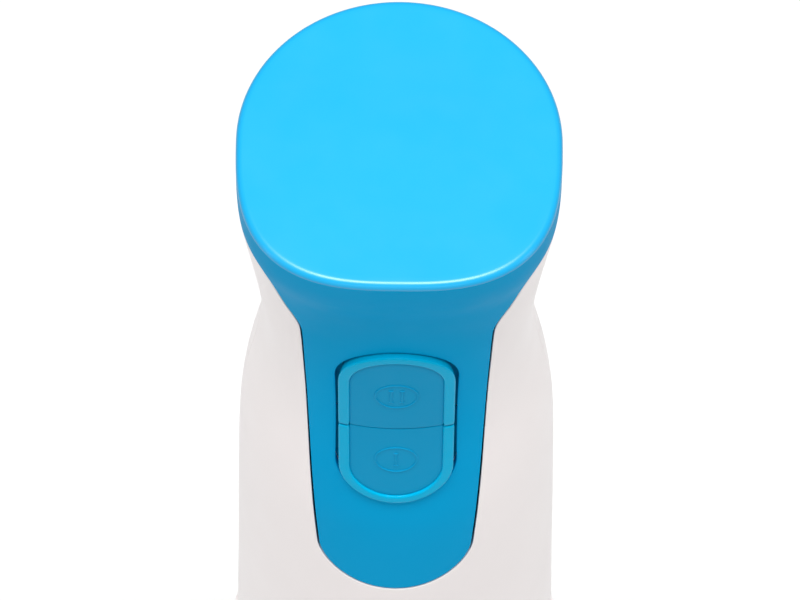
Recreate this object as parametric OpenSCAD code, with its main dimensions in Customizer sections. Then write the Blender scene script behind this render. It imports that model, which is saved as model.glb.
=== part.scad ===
// Immersion blender: a hand-held motor unit with two speed keys, and a blending arm that snaps off.
// Millimetres. +Z runs up the handle, the keys face -Y, and the origin is the centre of the bell's rim.

/* [Overall] */
// Height from the bell's rim to the flat top
total_h = 400; // [390:1:410]
// Height of the joint line between the arm and the motor unit
joint_z = 176; // [176:1:176]

/* [Shells] */
// Wall of the white housing
wall = 2.2; // [2.0:0.1:2.4]
// Wall of the blue cover
cover_wall = 2.0; // [1.8:0.1:2.2]
// Round edge of the flat top
top_round = 1.4; // [1.0:0.1:2.0]
// Depth of the blue band round the top
band_h = 10.5; // [9:0.5:12]
// Gap between the cover and the housing
seam = 0.25; // [0.2:0.05:0.4]

/* [Keys] */
// Half width of the key block, which has round ends
key_r = 11.45; // [11:0.05:12]
// Travel of each key
key_travel = 2.0; // [1.5:0.1:2.0]
// How far the key rims stand proud of the cover
key_proud = 0.9; // [0.6:0.1:1.2]

/* [Arm] */
// Outer radius of the steel tube
tube_r = 16; // [15.5:0.1:16]
// Outer radius of the bell's rim
bell_r = 33.3; // [32:0.1:34]
// Sheet thickness of the bell
bell_wall = 1.3; // [1.2:0.1:1.5]
// Radius of the blade's tips
blade_r = 22; // [20:0.5:23]

/* [Drive] */
// Radius of the motor shaft and of the arm's shaft
shaft_r = 4; // [4:0.1:4]
// Radial running clearance of the shafts in their bushes
running = 0.04; // [0.02:0.01:0.08]
// Bore radius of the cord gland
cord_bore_r = 3.5; // [3:0.1:4]

/* [Hidden] */

blue = "#1f9fd6";
blue_pad = "#2a8cba";
white = "#ece9e8";
grey = "#9a9da0";
steel = "#c4c6c8";

// The handle's outline: depth below the top, half width, front reach, rear reach, front squareness.
stations = [
    [top_round, 30.3, 31.5, 30.1, 2.85],
    [10, 30.3, 30.2, 30.1, 2.8],
    [22, 29.6, 26.8, 28.9, 2.6],
    [34, 28.4, 25.1, 27.4, 2.5],
    [47, 27.1, 24.9, 26.7, 2.4],
    [60, 26.3, 25.8, 26.6, 2.3],
    [74, 27.5, 27.4, 27.9, 2.2],
    [90, 30.1, 29.4, 30.1, 2.15],
    [104, 31.5, 31.0, 31.5, 2.1],
    [130, 32.4, 32.3, 32.4, 2.05],
    [170, 33.3, 33.3, 33.3, 2.0],
    [206, 34.1, 34.1, 34.1, 2.0],
    [217, 33.6, 33.6, 33.6, 2.0],
    [total_h - joint_z, 31.2, 31.2, 31.2, 2.0]];
ring_points = 48;
body_depths = [top_round, 4, 7, 10, 14, 18, 22, 28, 34, 40, 47, 54, 60, 67, 74, 82, 90, 97, 104,
    117, 130, 150, 170, 190, 206, 212, 217, 221, total_h - joint_z];

// The cover's outline: depth below the top and half width, down the straight sides of its tongue.
tongue_sides = [[0, 40], [band_h, 40], [band_h, 26.6], [11.5, 25.6], [14, 24.9], [22, 22.9], [29, 19.9],
    [32.5, 18.5], [36, 18.0], [60, 17.4], [90, 16.5], [112, 15.5]];
tongue_end = 127;

key_mid_d = 65.15;   // depth of the key block's middle
key_reach = 15;      // from there to the centre of each round end
key_split_d = 66;    // depth of the line between the two keys
key_gap = 0.45;      // between the key block and the cover
key_face_r = 43;     // curve of the key faces across the handle
pad_r = 9.1;         // half width of the soft pads

nose_r = 25.2;       // outside of the motor unit's nose, which enters the arm's collar
nose_wall = 2.7;
nose_z = 160;        // the nose's lower edge
floor_z = 178;       // underside of the coupling base's floor
floor_h = 3;
latch_z = 189;       // middle of the release buttons
latch_y = 5;         // half width of a latch
latch_x = 19.2;      // inner face of a latch's leg
latch_t = 2.4;       // thickness of that leg
tooth_x = 27;        // tip of a latch's tooth
button_r = 4.3;      // end radius of a release button
button_mid = 2.8;    // from its middle to the centre of each round end
button_out = 34.7;   // its face
stator_z = 214;
stator_h = 28;
dog_r = 8;
hub_r = shaft_r + 0.02;   // bore of what is pressed on a shaft

function z_of(depth) = total_h - depth;
function segment(d, i = 0) = i >= len(stations) - 2 || d < stations[i + 1][0] ? i : segment(d, i + 1);
function slope(i, k) = let (a = max(i - 1, 0), b = min(i + 1, len(stations) - 1))
    (stations[b][k] - stations[a][k]) / (stations[b][0] - stations[a][0]);
function outline(d, k) = let (
    i = segment(d), p = stations[i], q = stations[i + 1], w = q[0] - p[0],
    t = (d - p[0]) / w, t2 = t * t, t3 = t2 * t)
    (2 * t3 - 3 * t2 + 1) * p[k] + (t3 - 2 * t2 + t) * w * slope(i, k)
    + (3 * t2 - 2 * t3) * q[k] + (t3 - t2) * w * slope(i + 1, k);
function signed_power(v, p) = sign(v) * pow(abs(v), p);
// One closed section of the handle, at a depth below the top, brought in by an inset.
function section(d, inset, z) = let (
    a = outline(d, 1) - inset, front = outline(d, 2) - inset,
    rear = outline(d, 3) - inset, n = outline(d, 4))
    [for (i = [0:ring_points - 1]) let (
        t = 360 * i / ring_points, c = cos(t), s = sin(t), e = 2 / (s < 0 ? n : 2))
        [a * signed_power(c, e), s < 0 ? -front * pow(-s, e) : rear * s, z]];

module slab(lower, upper) {
    n = len(lower);
    hull() polyhedron(points = concat(lower, upper),
        faces = [[for (i = [0:n - 1]) i], [for (i = [0:n - 1]) 2 * n - 1 - i]]);
}

// The handle's body between two depths, brought in by an inset.
module body_solid(inset, from, to) {
    inner = [for (d = body_depths) if (d > from + 0.5 && d < to - 0.5) d];
    depths = concat([from], inner, [to]);
    for (i = [0:len(depths) - 2])
        slab(section(depths[i + 1], inset, z_of(depths[i + 1])),
            section(depths[i], inset, z_of(depths[i])));
}

// The round edge of the flat top.
module top_edge() {
    steps = 4;
    for (i = [0:steps - 1]) {
        low = 90 * (i + 1) / steps;
        high = 90 * i / steps;
        slab(section(top_round, top_round * (1 - sin(low)), z_of(top_round * (1 - cos(low)))),
            section(top_round, top_round * (1 - sin(high)), z_of(top_round * (1 - cos(high)))));
    }
}

// The outline of the cover seen from the front, grown by a margin, as a block that reaches back to y = 0.
module tongue_block(grow, back) {
    end_d = tongue_sides[len(tongue_sides) - 1][0];
    end_w = tongue_sides[len(tongue_sides) - 1][1];
    half = concat(tongue_sides,
        [for (a = [10:10:90]) [end_d + (tongue_end - end_d) * sin(a), end_w * cos(a)]]);
    right = [for (p = half) [p[1] + grow, z_of(p[0]) - (p[0] > 100 ? grow * (p[0] - 100) / 27 : 0)
        - (p[0] == band_h ? grow : 0)]];
    left = [for (i = [len(right) - 1:-1:0]) [-right[i][0], right[i][1]]];
    translate([0, back, 0]) rotate([90, 0, 0]) linear_extrude(60) polygon(concat(right, left));
}

module stadium(r, half_h) {
    hull() for (s = [-1, 1]) translate([0, s * half_h]) circle(r = r, $fn = 48);
}

// A block along Y with the key block's outline.
module key_block(r, y0, y1) {
    translate([0, y1, z_of(key_mid_d)]) rotate([90, 0, 0]) linear_extrude(y1 - y0) stadium(r, key_reach);
}

module rod_y(r, y0, y1, x, z) {
    translate([x, y0, z]) rotate([-90, 0, 0]) cylinder(r = r, h = y1 - y0, $fn = 32);
}

module rod_z(r, z0, z1, x = 0, y = 0) {
    translate([x, y, z0]) cylinder(r = r, h = z1 - z0, $fn = 64);
}

// A ring or a bush about the handle's axis.
module ring(outer, inner, z0, z1) {
    difference() {
        rod_z(outer, z0, z1);
        rod_z(inner, z0 - 1, z1 + 1);
    }
}

// A block from its lowest and highest corners.
module block(low, high) {
    translate(low) cube(high - low);
}

// A sector of a ring about the axis, between two angles.
module sector(outer, inner, z0, z1, a0, a1) {
    rotate([0, 0, a0]) rotate_extrude(angle = a1 - a0, $fn = 96)
        translate([inner, z0]) square([outer - inner, z1 - z0]);
}

// A round wire wound along +Z, with flat ends to its wire.
module coil(radius, wire, length, turns) {
    sides = 6;
    steps = turns * 14;
    rise = length - 2 * wire;
    pts = [for (i = [0:steps]) let (a = 360 * turns * i / steps, z = wire + rise * i / steps)
        for (j = [0:sides - 1]) let (b = 360 * j / sides, r = radius + wire * cos(b))
            [r * cos(a), r * sin(a), z + wire * sin(b)]];
    sides_faces = [for (i = [0:steps - 1], j = [0:sides - 1]) let (k = (j + 1) % sides)
        [i * sides + j, (i + 1) * sides + j, (i + 1) * sides + k, i * sides + k]];
    polyhedron(points = pts, faces = concat(
        [[for (j = [0:sides - 1]) j]],
        sides_faces,
        [[for (j = [0:sides - 1]) steps * sides + sides - 1 - j]]));
}

// A wire through a list of points, with round bends.
module lead(points, r) {
    for (i = [0:len(points) - 2]) hull() {
        translate(points[i]) sphere(r = r, $fn = 8);
        translate(points[i + 1]) sphere(r = r, $fn = 8);
    }
}

// A screw whose head is at y0 and whose tip points to +Y.
module screw_y(x, z, y0, length) {
    rod_y(2.8, y0, y0 + 1.6, x, z);
    rod_y(1.4, y0 + 1.5, y0 + length, x, z);
}

// ---------------------------------------------------------------- shells

screw_places = [[14, z_of(16)], [10, z_of(109)]];
screw_head_y = [-22.6, -26.2];
post_z = [369, 299];     // the two posts that the switch carrier is screwed to

module top_cover() {
    color(blue) difference() {
        intersection() {
            union() {
                top_edge();
                body_solid(0, top_round, 128);
            }
            union() {
                block([-40, -40, z_of(band_h)], [40, 40, total_h + 1]);
                tongue_block(0, 0);
            }
        }
        body_solid(cover_wall, 2.4, 129);
        key_block(key_r + key_gap, -40, -10);
    }
}

module front_housing() {
    color(white) difference() {
        union() {
            difference() {
                body_solid(0, band_h + seam, total_h - joint_z);
                body_solid(wall, band_h, 222.1);
                tongue_block(seam, 1);
                rod_z(26.2, 170, 181);
            }
            // The recess that the cover's tongue lies in.
            intersection() {
                difference() {
                    body_solid(cover_wall + 0.4, band_h + seam, 131);
                    body_solid(cover_wall + 2.0, band_h, 132);
                }
                tongue_block(1.6, 1);
            }
            // Ribs that hold the motor and the coupling base, cut clear of the cover's tongue.
            difference() {
                inner_ribs();
                difference() {
                    tongue_block(seam, 1);
                    body_solid(cover_wall + 0.4, 110, 131);
                }
            }
            // The screw posts.
            for (k = [0, 1], s = [-1, 1])
                intersection() {
                    rod_y(3.6, -40, 0, s * screw_places[k][0], screw_places[k][1]);
                    body_solid(cover_wall + 0.5, band_h + seam, 140);
                }
            for (z = post_z) intersection() {
                rod_y(3, -40, deck_y - 0.02, 0, z);
                body_solid(cover_wall + 0.5, band_h + seam, 140);
            }
        }
        block([-40, 0, 150], [40, 40, 410]);
        key_block(13.6, -40, -15);
        for (k = [0, 1], s = [-1, 1]) {
            rod_y(1.7, -40, 1, s * screw_places[k][0], screw_places[k][1]);
            rod_y(3.0, -40, screw_head_y[k] + 1.7, s * screw_places[k][0], screw_places[k][1]);
        }
        for (z = post_z) rod_y(1.1, deck_y - 3, deck_y + 1, 0, z);
        release_openings();
    }
}

module rear_housing() {
    color(white) difference() {
        union() {
            difference() {
                body_solid(0, band_h + seam, total_h - joint_z);
                body_solid(wall, band_h, 222.1);
                rod_z(26.2, 170, 181);
            }
            inner_ribs();
            for (k = [0, 1], s = [-1, 1])
                intersection() {
                    rod_y(3.6, 0, 40, s * screw_places[k][0], screw_places[k][1]);
                    body_solid(wall - 0.5, band_h + seam, 140);
                }
        }
        block([-40, -40, 150], [40, 0, 410]);
        for (k = [0, 1], s = [-1, 1])
            rod_y(1.45, -1, 14, s * screw_places[k][0], screw_places[k][1]);
        rod_y(5.6, 10, 40, 0, gland_z);
        rod_y(7.6, 27.4, 40, 0, gland_z);
        for (i = [0:5]) translate([0, 0, 208 + 6 * i]) hull()
            for (s = [-1, 1]) rod_y(1.2, 20, 40, s * 9, 0);
        release_openings();
    }
}

// Ring ribs inside both halves: a seat for the upper damper and a shelf over the coupling base.
module inner_ribs() {
    difference() {
        union() {
            body_solid(wall - 0.5, z_of(276.6), z_of(273.4));
            body_solid(wall - 0.5, z_of(183.2), z_of(181.2));
        }
        rod_z(12.05, 270, 280);
        rod_z(27.2, 180, 184);
        block([-40, -9, 180], [40, 9, 184]);
        for (s = [-1, 1]) translate([s * 20, 0, 0]) rod_z(5, 270, 280);
    }
}

// Where the release buttons pass through the housing's sides.
module release_openings() {
    for (s = [-1, 1]) translate([s * 33, 0, latch_z]) rotate([0, 90, 0]) linear_extrude(12, center = true)
        rotate(90) hull() for (t = [-1, 1]) translate([t * button_mid, 0])
            circle(r = button_r + 0.3, $fn = 48);
}

module housing_screws() {
    color(steel) for (k = [0, 1], s = [-1, 1])
        screw_y(s * screw_places[k][0], screw_places[k][1], screw_head_y[k], 34);
}

// ---------------------------------------------------------------- cord gland

gland_z = 376;
gland_y = 31.2;

module cord_gland() {
    color(blue) difference() {
        union() {
            rod_y(5.5, 20, 30, 0, gland_z);
            rod_y(7.5, 27.5, gland_y, 0, gland_z);
            rod_y(7.5, 20, 24.8, 0, gland_z);
        }
        rod_y(cord_bore_r, 15, 35, 0, gland_z);
    }
}

// ---------------------------------------------------------------- switches and wiring

switch_z = [z_of(55), z_of(77)];
deck_y = -16.6;      // front of the plate that carries the switches
board_y = deck_y + 8.2;
board_h = 1.6;

module switch_carrier() {
    color(grey) difference() {
        union() {
            block([-11.2, deck_y, 296], [11.2, deck_y + 1.4, 372]);
            for (s = [0, 1]) mirror([s, 0, 0]) block([9.8, deck_y + 1, 303], [11.2, board_y - 0.05, 365]);
        }
        for (z = switch_z) rod_y(2.8, deck_y - 1, deck_y + 2, 0, z);
        for (z = post_z) rod_y(1.5, deck_y - 1, deck_y + 2, 0, z);
    }
}

module carrier_screws() {
    color(steel) for (z = post_z) {
        rod_y(2.4, deck_y + 1.45, deck_y + 2.9, 0, z);
        rod_y(1.05, deck_y - 2.6, deck_y + 1.5, 0, z);
    }
}

module switch_board() {
    color("#2f6b46") block([-11, board_y, 302], [11, board_y + board_h, 366]);
}

module micro_switches() {
    color("#2b2d30") for (z = switch_z) {
        block([-6.4, deck_y + 1.8, z - 3.2], [6.4, board_y - 0.05, z + 3.2]);
        rod_y(1.2, deck_y + 0.2, deck_y + 2, 0, z);
    }
}

module suppressor_capacitor() {
    back = board_y + board_h + 0.05;
    color("#d8a21f") block([-9, back, 316], [9, back + 8.8, 331]);
}

module inner_leads() {
    start = board_y + board_h + 1.1;
    color("#8a4b2a") for (s = [-1, 1]) {
        // From the terminals of the board down past the motor's top rib to a brush holder.
        lead([[s * 7, start, 308], [s * 7, -1, 306], [s * 19, 0, 296], [s * 21.5, 0, 263.6]], 1);
        // From the cord gland to the board.
        lead([[s * 1.6, 18.8, gland_z], [s * 1.6, 14, gland_z], [s * 5, -2, 360], [s * 5, start, 358]], 1);
    }
}

// ---------------------------------------------------------------- keys

// A solid whose front follows a key's face, at an offset out from that face.
module key_face(high, out) {
    mid_d = high ? 52.35 : 78.8;
    reach = high ? 25.65 : 27.65;
    tilt = high ? 3.25 : 7.1;
    translate([0, key_face_r - reach, z_of(mid_d)]) rotate([-tilt, 0, 0])
        cylinder(r = key_face_r + out, h = 60, center = true, $fn = 128);
}

// Everything above or below the line between the keys, less half the gap there.
module key_side(high, gap) {
    split = z_of(key_split_d);
    if (high) block([-20, -45, split + gap], [20, 0, split + 40]);
    else block([-20, -45, split - 40], [20, 0, split - gap]);
}

module key_shape(high) {
    split_gap = 0.15;
    z = switch_z[high ? 0 : 1];
    face_y = -(high ? 25.65 : 27.65);
    difference() {
        union() {
            // The visible top with its rim.
            intersection() {
                difference() {
                    key_face(high, key_proud);
                    key_face(high, -4.1);
                }
                key_block(key_r, -40, -12);
                key_side(high, split_gap);
            }
            // The flange that stops it behind the cover.
            intersection() {
                difference() {
                    key_face(high, -3.1);
                    key_face(high, -4.1);
                }
                key_block(13.1, -40, -12);
                key_side(high, split_gap + 0.2);
            }
        }
        // The hollow under the face, and the shallow pocket of the soft pad.
        intersection() {
            key_face(high, -1.4);
            key_block(key_r - 1.8, -40, -12);
            key_side(high, 2.2);
        }
        intersection() {
            difference() {
                key_face(high, 3);
                key_face(high, -0.5);
            }
            key_block(pad_r, -40, -12);
            key_side(high, -1);
        }
    }
    // The plunger that reaches the micro switch.
    rod_y(2.2, face_y + 0.8, deck_y + 0.2 - key_travel - 0.2, 0, z);
}

module pad_shape(high) {
    intersection() {
        difference() {
            key_face(high, key_proud - 0.5);
            key_face(high, -0.5);
        }
        key_block(pad_r - 0.05, -40, -12);
        key_side(high, 0.15);
    }
}

module high_speed_key() { color(blue) key_shape(true); }
module low_speed_key() { color(blue) key_shape(false); }
module high_speed_pad() { color(blue_pad) pad_shape(true); }
module low_speed_pad() { color(blue_pad) pad_shape(false); }

module key_spring(high) {
    start = high ? -24.0 : -25.3;
    translate([0, start, switch_z[high ? 0 : 1]]) rotate([-90, 0, 0])
        coil(3.3, 0.3, deck_y - 0.05 - start, 5);
}

module high_key_spring() { color(steel) key_spring(true); }
module low_key_spring() { color(steel) key_spring(false); }

// ---------------------------------------------------------------- motor

leg_y = 22;      // the motor's two long screws, in front of and behind the shaft

module upper_damper() {
    color("#26282b") ring(11.95, 8.1, 272.6, 277.4);
}

module upper_motor_bracket() {
    color(steel) difference() {
        union() {
            block([-9, -26, 268], [9, 26, 271]);
            rod_z(8, 266, 278);
            for (s = [-1, 1])
                block([-4, s * leg_y - 3, stator_z + stator_h + 0.05], [4, s * leg_y + 3, 268.5]);
            block([-17.5, -4.6, 268], [17.5, 4.6, 271]);
            for (s = [0, 1]) mirror([s, 0, 0]) block([14, -4.6, 262.5], [17.5, 4.6, 268.5]);
        }
        rod_z(6, 267.5, 276.5);
        rod_z(shaft_r + 0.6, 260, 280);
        for (s = [-1, 1]) rod_z(2.1, 240, 275, 0, s * leg_y);
    }
}

module bush(z0, z1, outer) {
    ring(outer, shaft_r + running, z0, z1);
}

module upper_motor_bush() { color("#b08a4a") bush(267.6, 276.4, 5.95); }

module brush_holders() {
    color("#3a2c22") for (s = [0, 180]) rotate([0, 0, s]) difference() {
        block([11, -4.6, 253.5], [25.5, 4.6, 262.5]);
        block([10, -3.1, 255], [24, 3.1, 261]);
    }
}

module carbon_brushes() {
    color("#3b3b3d") for (s = [0, 180]) rotate([0, 0, s]) block([9.8, -3.0, 255.1], [19, 3.0, 260.9]);
}

module brush_springs() {
    color(steel) for (s = [0, 180]) rotate([0, 0, s])
        translate([19, 0, 258]) rotate([0, 90, 0]) coil(2, 0.25, 5, 4);
}

module stator_core() {
    color("#8d9195") difference() {
        intersection() {
            block([-22, -26, stator_z], [22, 26, stator_z + stator_h]);
            rod_z(27.5, stator_z, stator_z + stator_h);
        }
        rod_z(16, stator_z - 1, stator_z + stator_h + 1);
        for (s = [0, 180], a = [-51, 35]) rotate([0, 0, s])
            sector(21.6, 14, stator_z - 1, stator_z + stator_h + 1, a, a + 16);
        for (s = [-1, 1]) rod_z(2.1, stator_z - 1, stator_z + stator_h + 1, 0, s * leg_y);
    }
}

module field_coils() {
    color("#a8562a") for (s = [0, 180]) rotate([0, 0, s]) difference() {
        sector(21.2, 16.6, 206, 250, -50, 50);
        sector(23, 15, stator_z - 1.2, stator_z + stator_h + 1.2, -36, 36);
    }
}

module motor_screws() {
    color(steel) for (s = [-1, 1]) {
        rod_z(3.4, 271.1, 273.3, 0, s * leg_y);
        rod_z(2.0, 200, 271.2, 0, s * leg_y);
    }
}

module lower_motor_bracket() {
    color(steel) difference() {
        union() {
            block([-15.5, -26, 186.5], [15.5, 26, 189.5]);
            rod_z(8, 184.4, 192);
            for (s = [-1, 1]) block([-4, s * leg_y - 3, 189], [4, s * leg_y + 3, stator_z - 0.05]);
        }
        rod_z(6, 185.5, 191);
        rod_z(shaft_r + 0.6, 180, 195);
        for (s = [-1, 1]) rod_z(2.1, 199.9, 220, 0, s * leg_y);
        for (x = [-12, 12], y = [-12, 12]) rod_z(1.4, 185, 191, x, y);
    }
}

module lower_motor_bush() { color("#b08a4a") bush(185.6, 190.9, 5.95); }

module motor_grommets() {
    color("#26282b") for (x = [-12, 12], y = [-12, 12]) translate([x, y, 0]) ring(3.4, 1.5, 181.05, 186.45);
}

module base_screws() {
    color(steel) for (x = [-12, 12], y = [-12, 12]) {
        rod_z(2.7, 176.2, 177.95, x, y);
        rod_z(1.35, 177.9, 191.5, x, y);
    }
}

// The floor of the motor unit with the nose that plugs into the arm.
module coupling_base() {
    color(grey) difference() {
        union() {
            rod_z(28.4, floor_z, floor_z + floor_h);
            rod_z(nose_r, nose_z, floor_z + 1);
            for (s = [0, 1]) mirror([s, 0, 0]) block([10.5, -3, 180], [12.9, 3, 186.3]);
        }
        rod_z(nose_r - nose_wall, nose_z - 1, floor_z);
        rod_z(9.5, 170, 185);
        for (s = [0, 1]) {
            // The slot a latch's leg hangs through, and the window its tooth reaches out of.
            mirror([s, 0, 0]) block([16.4, -latch_y - 0.4, 170], [22.3, latch_y + 0.4, 185]);
            mirror([s, 0, 0]) block([20, -latch_y - 0.1, 162.8], [30, latch_y + 0.1, 168.6]);
        }
        for (x = [-12, 12], y = [-12, 12]) rod_z(1.5, 175, 185, x, y);
    }
}

// ---------------------------------------------------------------- rotor

module rotor_shaft() {
    color(steel) rod_z(shaft_r, 164.05, 277.5);
}

module rotor_core() {
    color("#7f8387") difference() {
        ring(15.4, hub_r, stator_z, stator_z + stator_h);
        for (i = [0:11]) rotate([0, 0, 30 * i + 15])
            block([12.8, -0.9, stator_z - 1], [17, 0.9, stator_z + 40]);
    }
}

module rotor_windings() {
    color("#b3612c") for (z = [205.8, stator_z + stator_h + 0.1]) rotate_extrude($fn = 96)
        translate([hub_r, z]) intersection() {
            square([10.6, 8]);
            translate([0, 4]) circle(r = 10.6, $fn = 64);
        }
}

module commutator() {
    color("#b87333") difference() {
        ring(9.6, hub_r, 252.5, 264);
        for (i = [0:11]) rotate([0, 0, 30 * i]) block([7.6, -0.35, 252], [11, 0.35, 261.5]);
    }
}

module cooling_fan() {
    color("#33363a") difference() {
        union() {
            ring(7, hub_r, 193.5, 201.5);
            ring(18.5, 6.5, 200.2, 201.5);
            for (i = [0:8]) rotate([0, 0, 40 * i]) block([6.5, -0.7, 193.5], [18, 0.7, 200.8]);
        }
    }
}

// A six-pointed star, for the dog that drives the arm and the socket that it fits.
module star(r, z0, z1) {
    for (a = [0, 30]) rotate([0, 0, a]) translate([0, 0, z0]) cylinder(r = r, h = z1 - z0, $fn = 3);
    for (a = [60, 90]) rotate([0, 0, a]) translate([0, 0, z0]) cylinder(r = r, h = z1 - z0, $fn = 3);
}

module drive_dog() {
    color(grey) difference() {
        union() {
            star(dog_r, 163.5, 173);
            rod_z(8.4, 173, 176.5);
        }
        rod_z(hub_r, 164, 180);
    }
}

// ---------------------------------------------------------------- latch

// s is -1 for the left side and 1 for the right.
module release_button(s) {
    color(white) translate([0, 0, latch_z]) mirror([s < 0 ? 1 : 0, 0, 0]) {
        translate([28.5, 0, 0]) rotate([90, 0, 90]) linear_extrude(button_out - 28.5) {
            for (y = [-button_mid, button_mid]) translate([y, 0]) circle(r = button_r, $fn = 48);
            square([2 * button_mid, 2 * button_r], center = true);
        }
        block([28.3, -8, -5.4], [29.8, 8, 5.4]);
        block([latch_x + latch_t, -3.5, -2.5], [29, 3.5, 2.5]);
    }
}

module latch_hook(s) {
    color(steel) mirror([s < 0 ? 1 : 0, 0, 0]) {
        block([latch_x, -latch_y + 0.5, 163.2], [latch_x + latch_t, latch_y - 0.5, 191.5]);
        block([latch_x + 0.5, -latch_y + 0.5, 163.2], [tooth_x - 1.6, latch_y - 0.5, 168.2]);
        translate([0, latch_y - 0.5, 0]) rotate([90, 0, 0]) linear_extrude(2 * latch_y - 1)
            polygon([[tooth_x - 2, 168.2], [tooth_x, 168.2], [tooth_x, 166.4], [tooth_x - 2, 163.2]]);
    }
}

module latch_spring(s) {
    color(steel) mirror([s < 0 ? 1 : 0, 0, 0]) translate([12.95, 0, 183.75]) rotate([0, 90, 0])
        coil(1.8, 0.25, latch_x - 13, 4);
}

module left_release_button() { release_button(-1); }
module right_release_button() { release_button(1); }
module left_latch_hook() { latch_hook(-1); }
module right_latch_hook() { latch_hook(1); }
module left_latch_spring() { latch_spring(-1); }
module right_latch_spring() { latch_spring(1); }

// ---------------------------------------------------------------- arm

function ease(t) = let (u = min(max(t, 0), 1)) u * u * (3 - 2 * u);
collar_low = 132;
cup_floor = 157;
cup_r = 25.6;
bell_neck_z = 46;
bell_skirt_z = 12;
function collar_out(z) = 17.8 + (30.9 - 17.8) * ease((z - collar_low) / 34);
bell_neck_r = tube_r + 1.35;
function bell_share(z) = min(max((bell_neck_z - z) / (bell_neck_z - bell_skirt_z), 0), 1);
function bell_out(z) = bell_neck_r + (bell_r - bell_neck_r) * ease(bell_share(z));
function bell_in(z) = bell_out(z) - bell_wall * (1 + 0.22 * sin(180 * bell_share(z)));

module arm_collar() {
    color(white) difference() {
        rotate_extrude($fn = 96) polygon(concat(
            [[0, collar_low], [17.2, collar_low]],
            [for (z = [collar_low + 0.6:2.6:172]) [collar_out(z), z]],
            [[30.9, joint_z - 0.9], [30.3, joint_z - 0.3], [0, joint_z - 0.3]]));
        rod_z(cup_r, cup_floor, 180);
        rod_z(27.8, 162.6, 169);
        rod_z(tube_r, 120, 151);
        rod_z(7, 150, 160);
    }
}

module collar_gasket() {
    color("#26282b") ring(cup_r - 0.05, 21, cup_floor + 0.02, cup_floor + 2.6);
}

module upper_arm_bush() {
    color("#b08a4a") {
        bush(151.05, 157.8, 6.95);
        bush(157.02, 158.4, 8.6);
    }
}

module arm_tube() {
    color(steel) ring(tube_r - 0.02, tube_r - 0.9, 42.2, 150.9);
}

module lower_carrier() {
    color(grey) difference() {
        union() {
            rod_z(tube_r - 0.95, 42, 62);
            rod_z(tube_r + 0.2, 38.6, 42.1);
            rod_z(11, 30, 39);
        }
        rod_z(shaft_r + 0.5, 20, 70);
        rod_z(7, 44, 63);
        rod_z(8, 29, 36);
    }
}

module lower_arm_bush() { color("#b08a4a") bush(44.05, 58, 6.95); }

module shaft_seal() {
    color("#26282b") ring(7.95, shaft_r + 0.06, 31, 35.9);
}

module bell_guard() {
    color(steel) difference() {
        rotate_extrude($fn = 128) polygon(concat(
            [[bell_out(60), 55], [bell_in(60) + 0.02, 55]],
            [for (z = [42:-2.5:12]) [bell_in(z), z]],
            [[bell_r - bell_wall, 0], [bell_r, 0]],
            [for (z = [12:2.5:47]) [bell_out(z), z]]));
        for (a = [0:90:270]) rotate([0, 0, a]) translate([20, 0, 10]) rotate([90, 0, 90])
            linear_extrude(20) {
                translate([-3.5, 0]) circle(r = 4.5, $fn = 48);
                translate([3.5, 0]) circle(r = 4.5, $fn = 48);
                square([7, 9], center = true);
            }
    }
}

// ---------------------------------------------------------------- blade and its shaft

module blade_shaft() {
    color(steel) {
        rod_z(shaft_r, 18, 159.5);
        rod_z(2.9, 9.4, 18.1);
    }
}

module driven_coupler() {
    color(grey) difference() {
        rod_z(11.5, 159, 171);
        star(dog_r + 0.4, 163, 172);
        rod_z(8.8, 170, 172);
        rod_z(hub_r, 158, 159.55);
    }
}

// One wing of the blade, bent up or down from the middle plate.
module wing(bend) {
    translate([6, 0, 14]) rotate([0, -bend, 0]) linear_extrude(1.5)
        polygon([[-0.6, -5], [-0.6, 5], [4, 4.6], [blade_r - 8.5, 1.5], [blade_r - 7, -1.5],
            [blade_r - 9, -4.2], [4, -5.2]]);
}

module blade() {
    color(steel) difference() {
        union() {
            rod_z(6.6, 14, 15.5);
            wing(28);
            rotate([0, 0, 180]) wing(-24);
        }
        rod_z(2.9, 10, 20);
    }
}

module blade_nut() {
    color(steel) difference() {
        union() {
            translate([0, 0, 9.6]) cylinder(r = 5.2, h = 4.35, $fn = 6);
            rod_z(5.6, 15.55, 18);
        }
        rod_z(2.9, 8, 20);
    }
}

top_cover();
front_housing();
rear_housing();
housing_screws();
cord_gland();
switch_carrier();
carrier_screws();
switch_board();
micro_switches();
suppressor_capacitor();
inner_leads();
high_speed_key();
high_speed_pad();
high_key_spring();
low_speed_key();
low_speed_pad();
low_key_spring();
upper_damper();
upper_motor_bracket();
upper_motor_bush();
brush_holders();
carbon_brushes();
brush_springs();
stator_core();
field_coils();
motor_screws();
lower_motor_bracket();
lower_motor_bush();
motor_grommets();
base_screws();
coupling_base();
rotor_shaft();
rotor_core();
rotor_windings();
commutator();
cooling_fan();
drive_dog();
left_release_button();
left_latch_hook();
left_latch_spring();
right_release_button();
right_latch_hook();
right_latch_spring();
arm_collar();
collar_gasket();
upper_arm_bush();
arm_tube();
lower_carrier();
lower_arm_bush();
shaft_seal();
bell_guard();
blade_shaft();
driven_coupler();
blade();
blade_nut();
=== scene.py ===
# %% [markdown]
# # An immersion blender
# The object is a stick blender that stands on its bell: a waisted white handle, a blue cover that wraps its
# flat top and runs down the front to a rounded tip, two speed keys, and a steel arm that clips off.
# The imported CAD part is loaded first. It fixes every size and every joint, so each piece below is built
# around it, in the same frame: millimetres in the working, metres in Blender, +Z up and the keys on -Y.

# %% Load the frame
import math

import bmesh
import bpy
import numpy as np
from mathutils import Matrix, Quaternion, Vector
from mathutils.geometry import delaunay_2d_cdt


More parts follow.
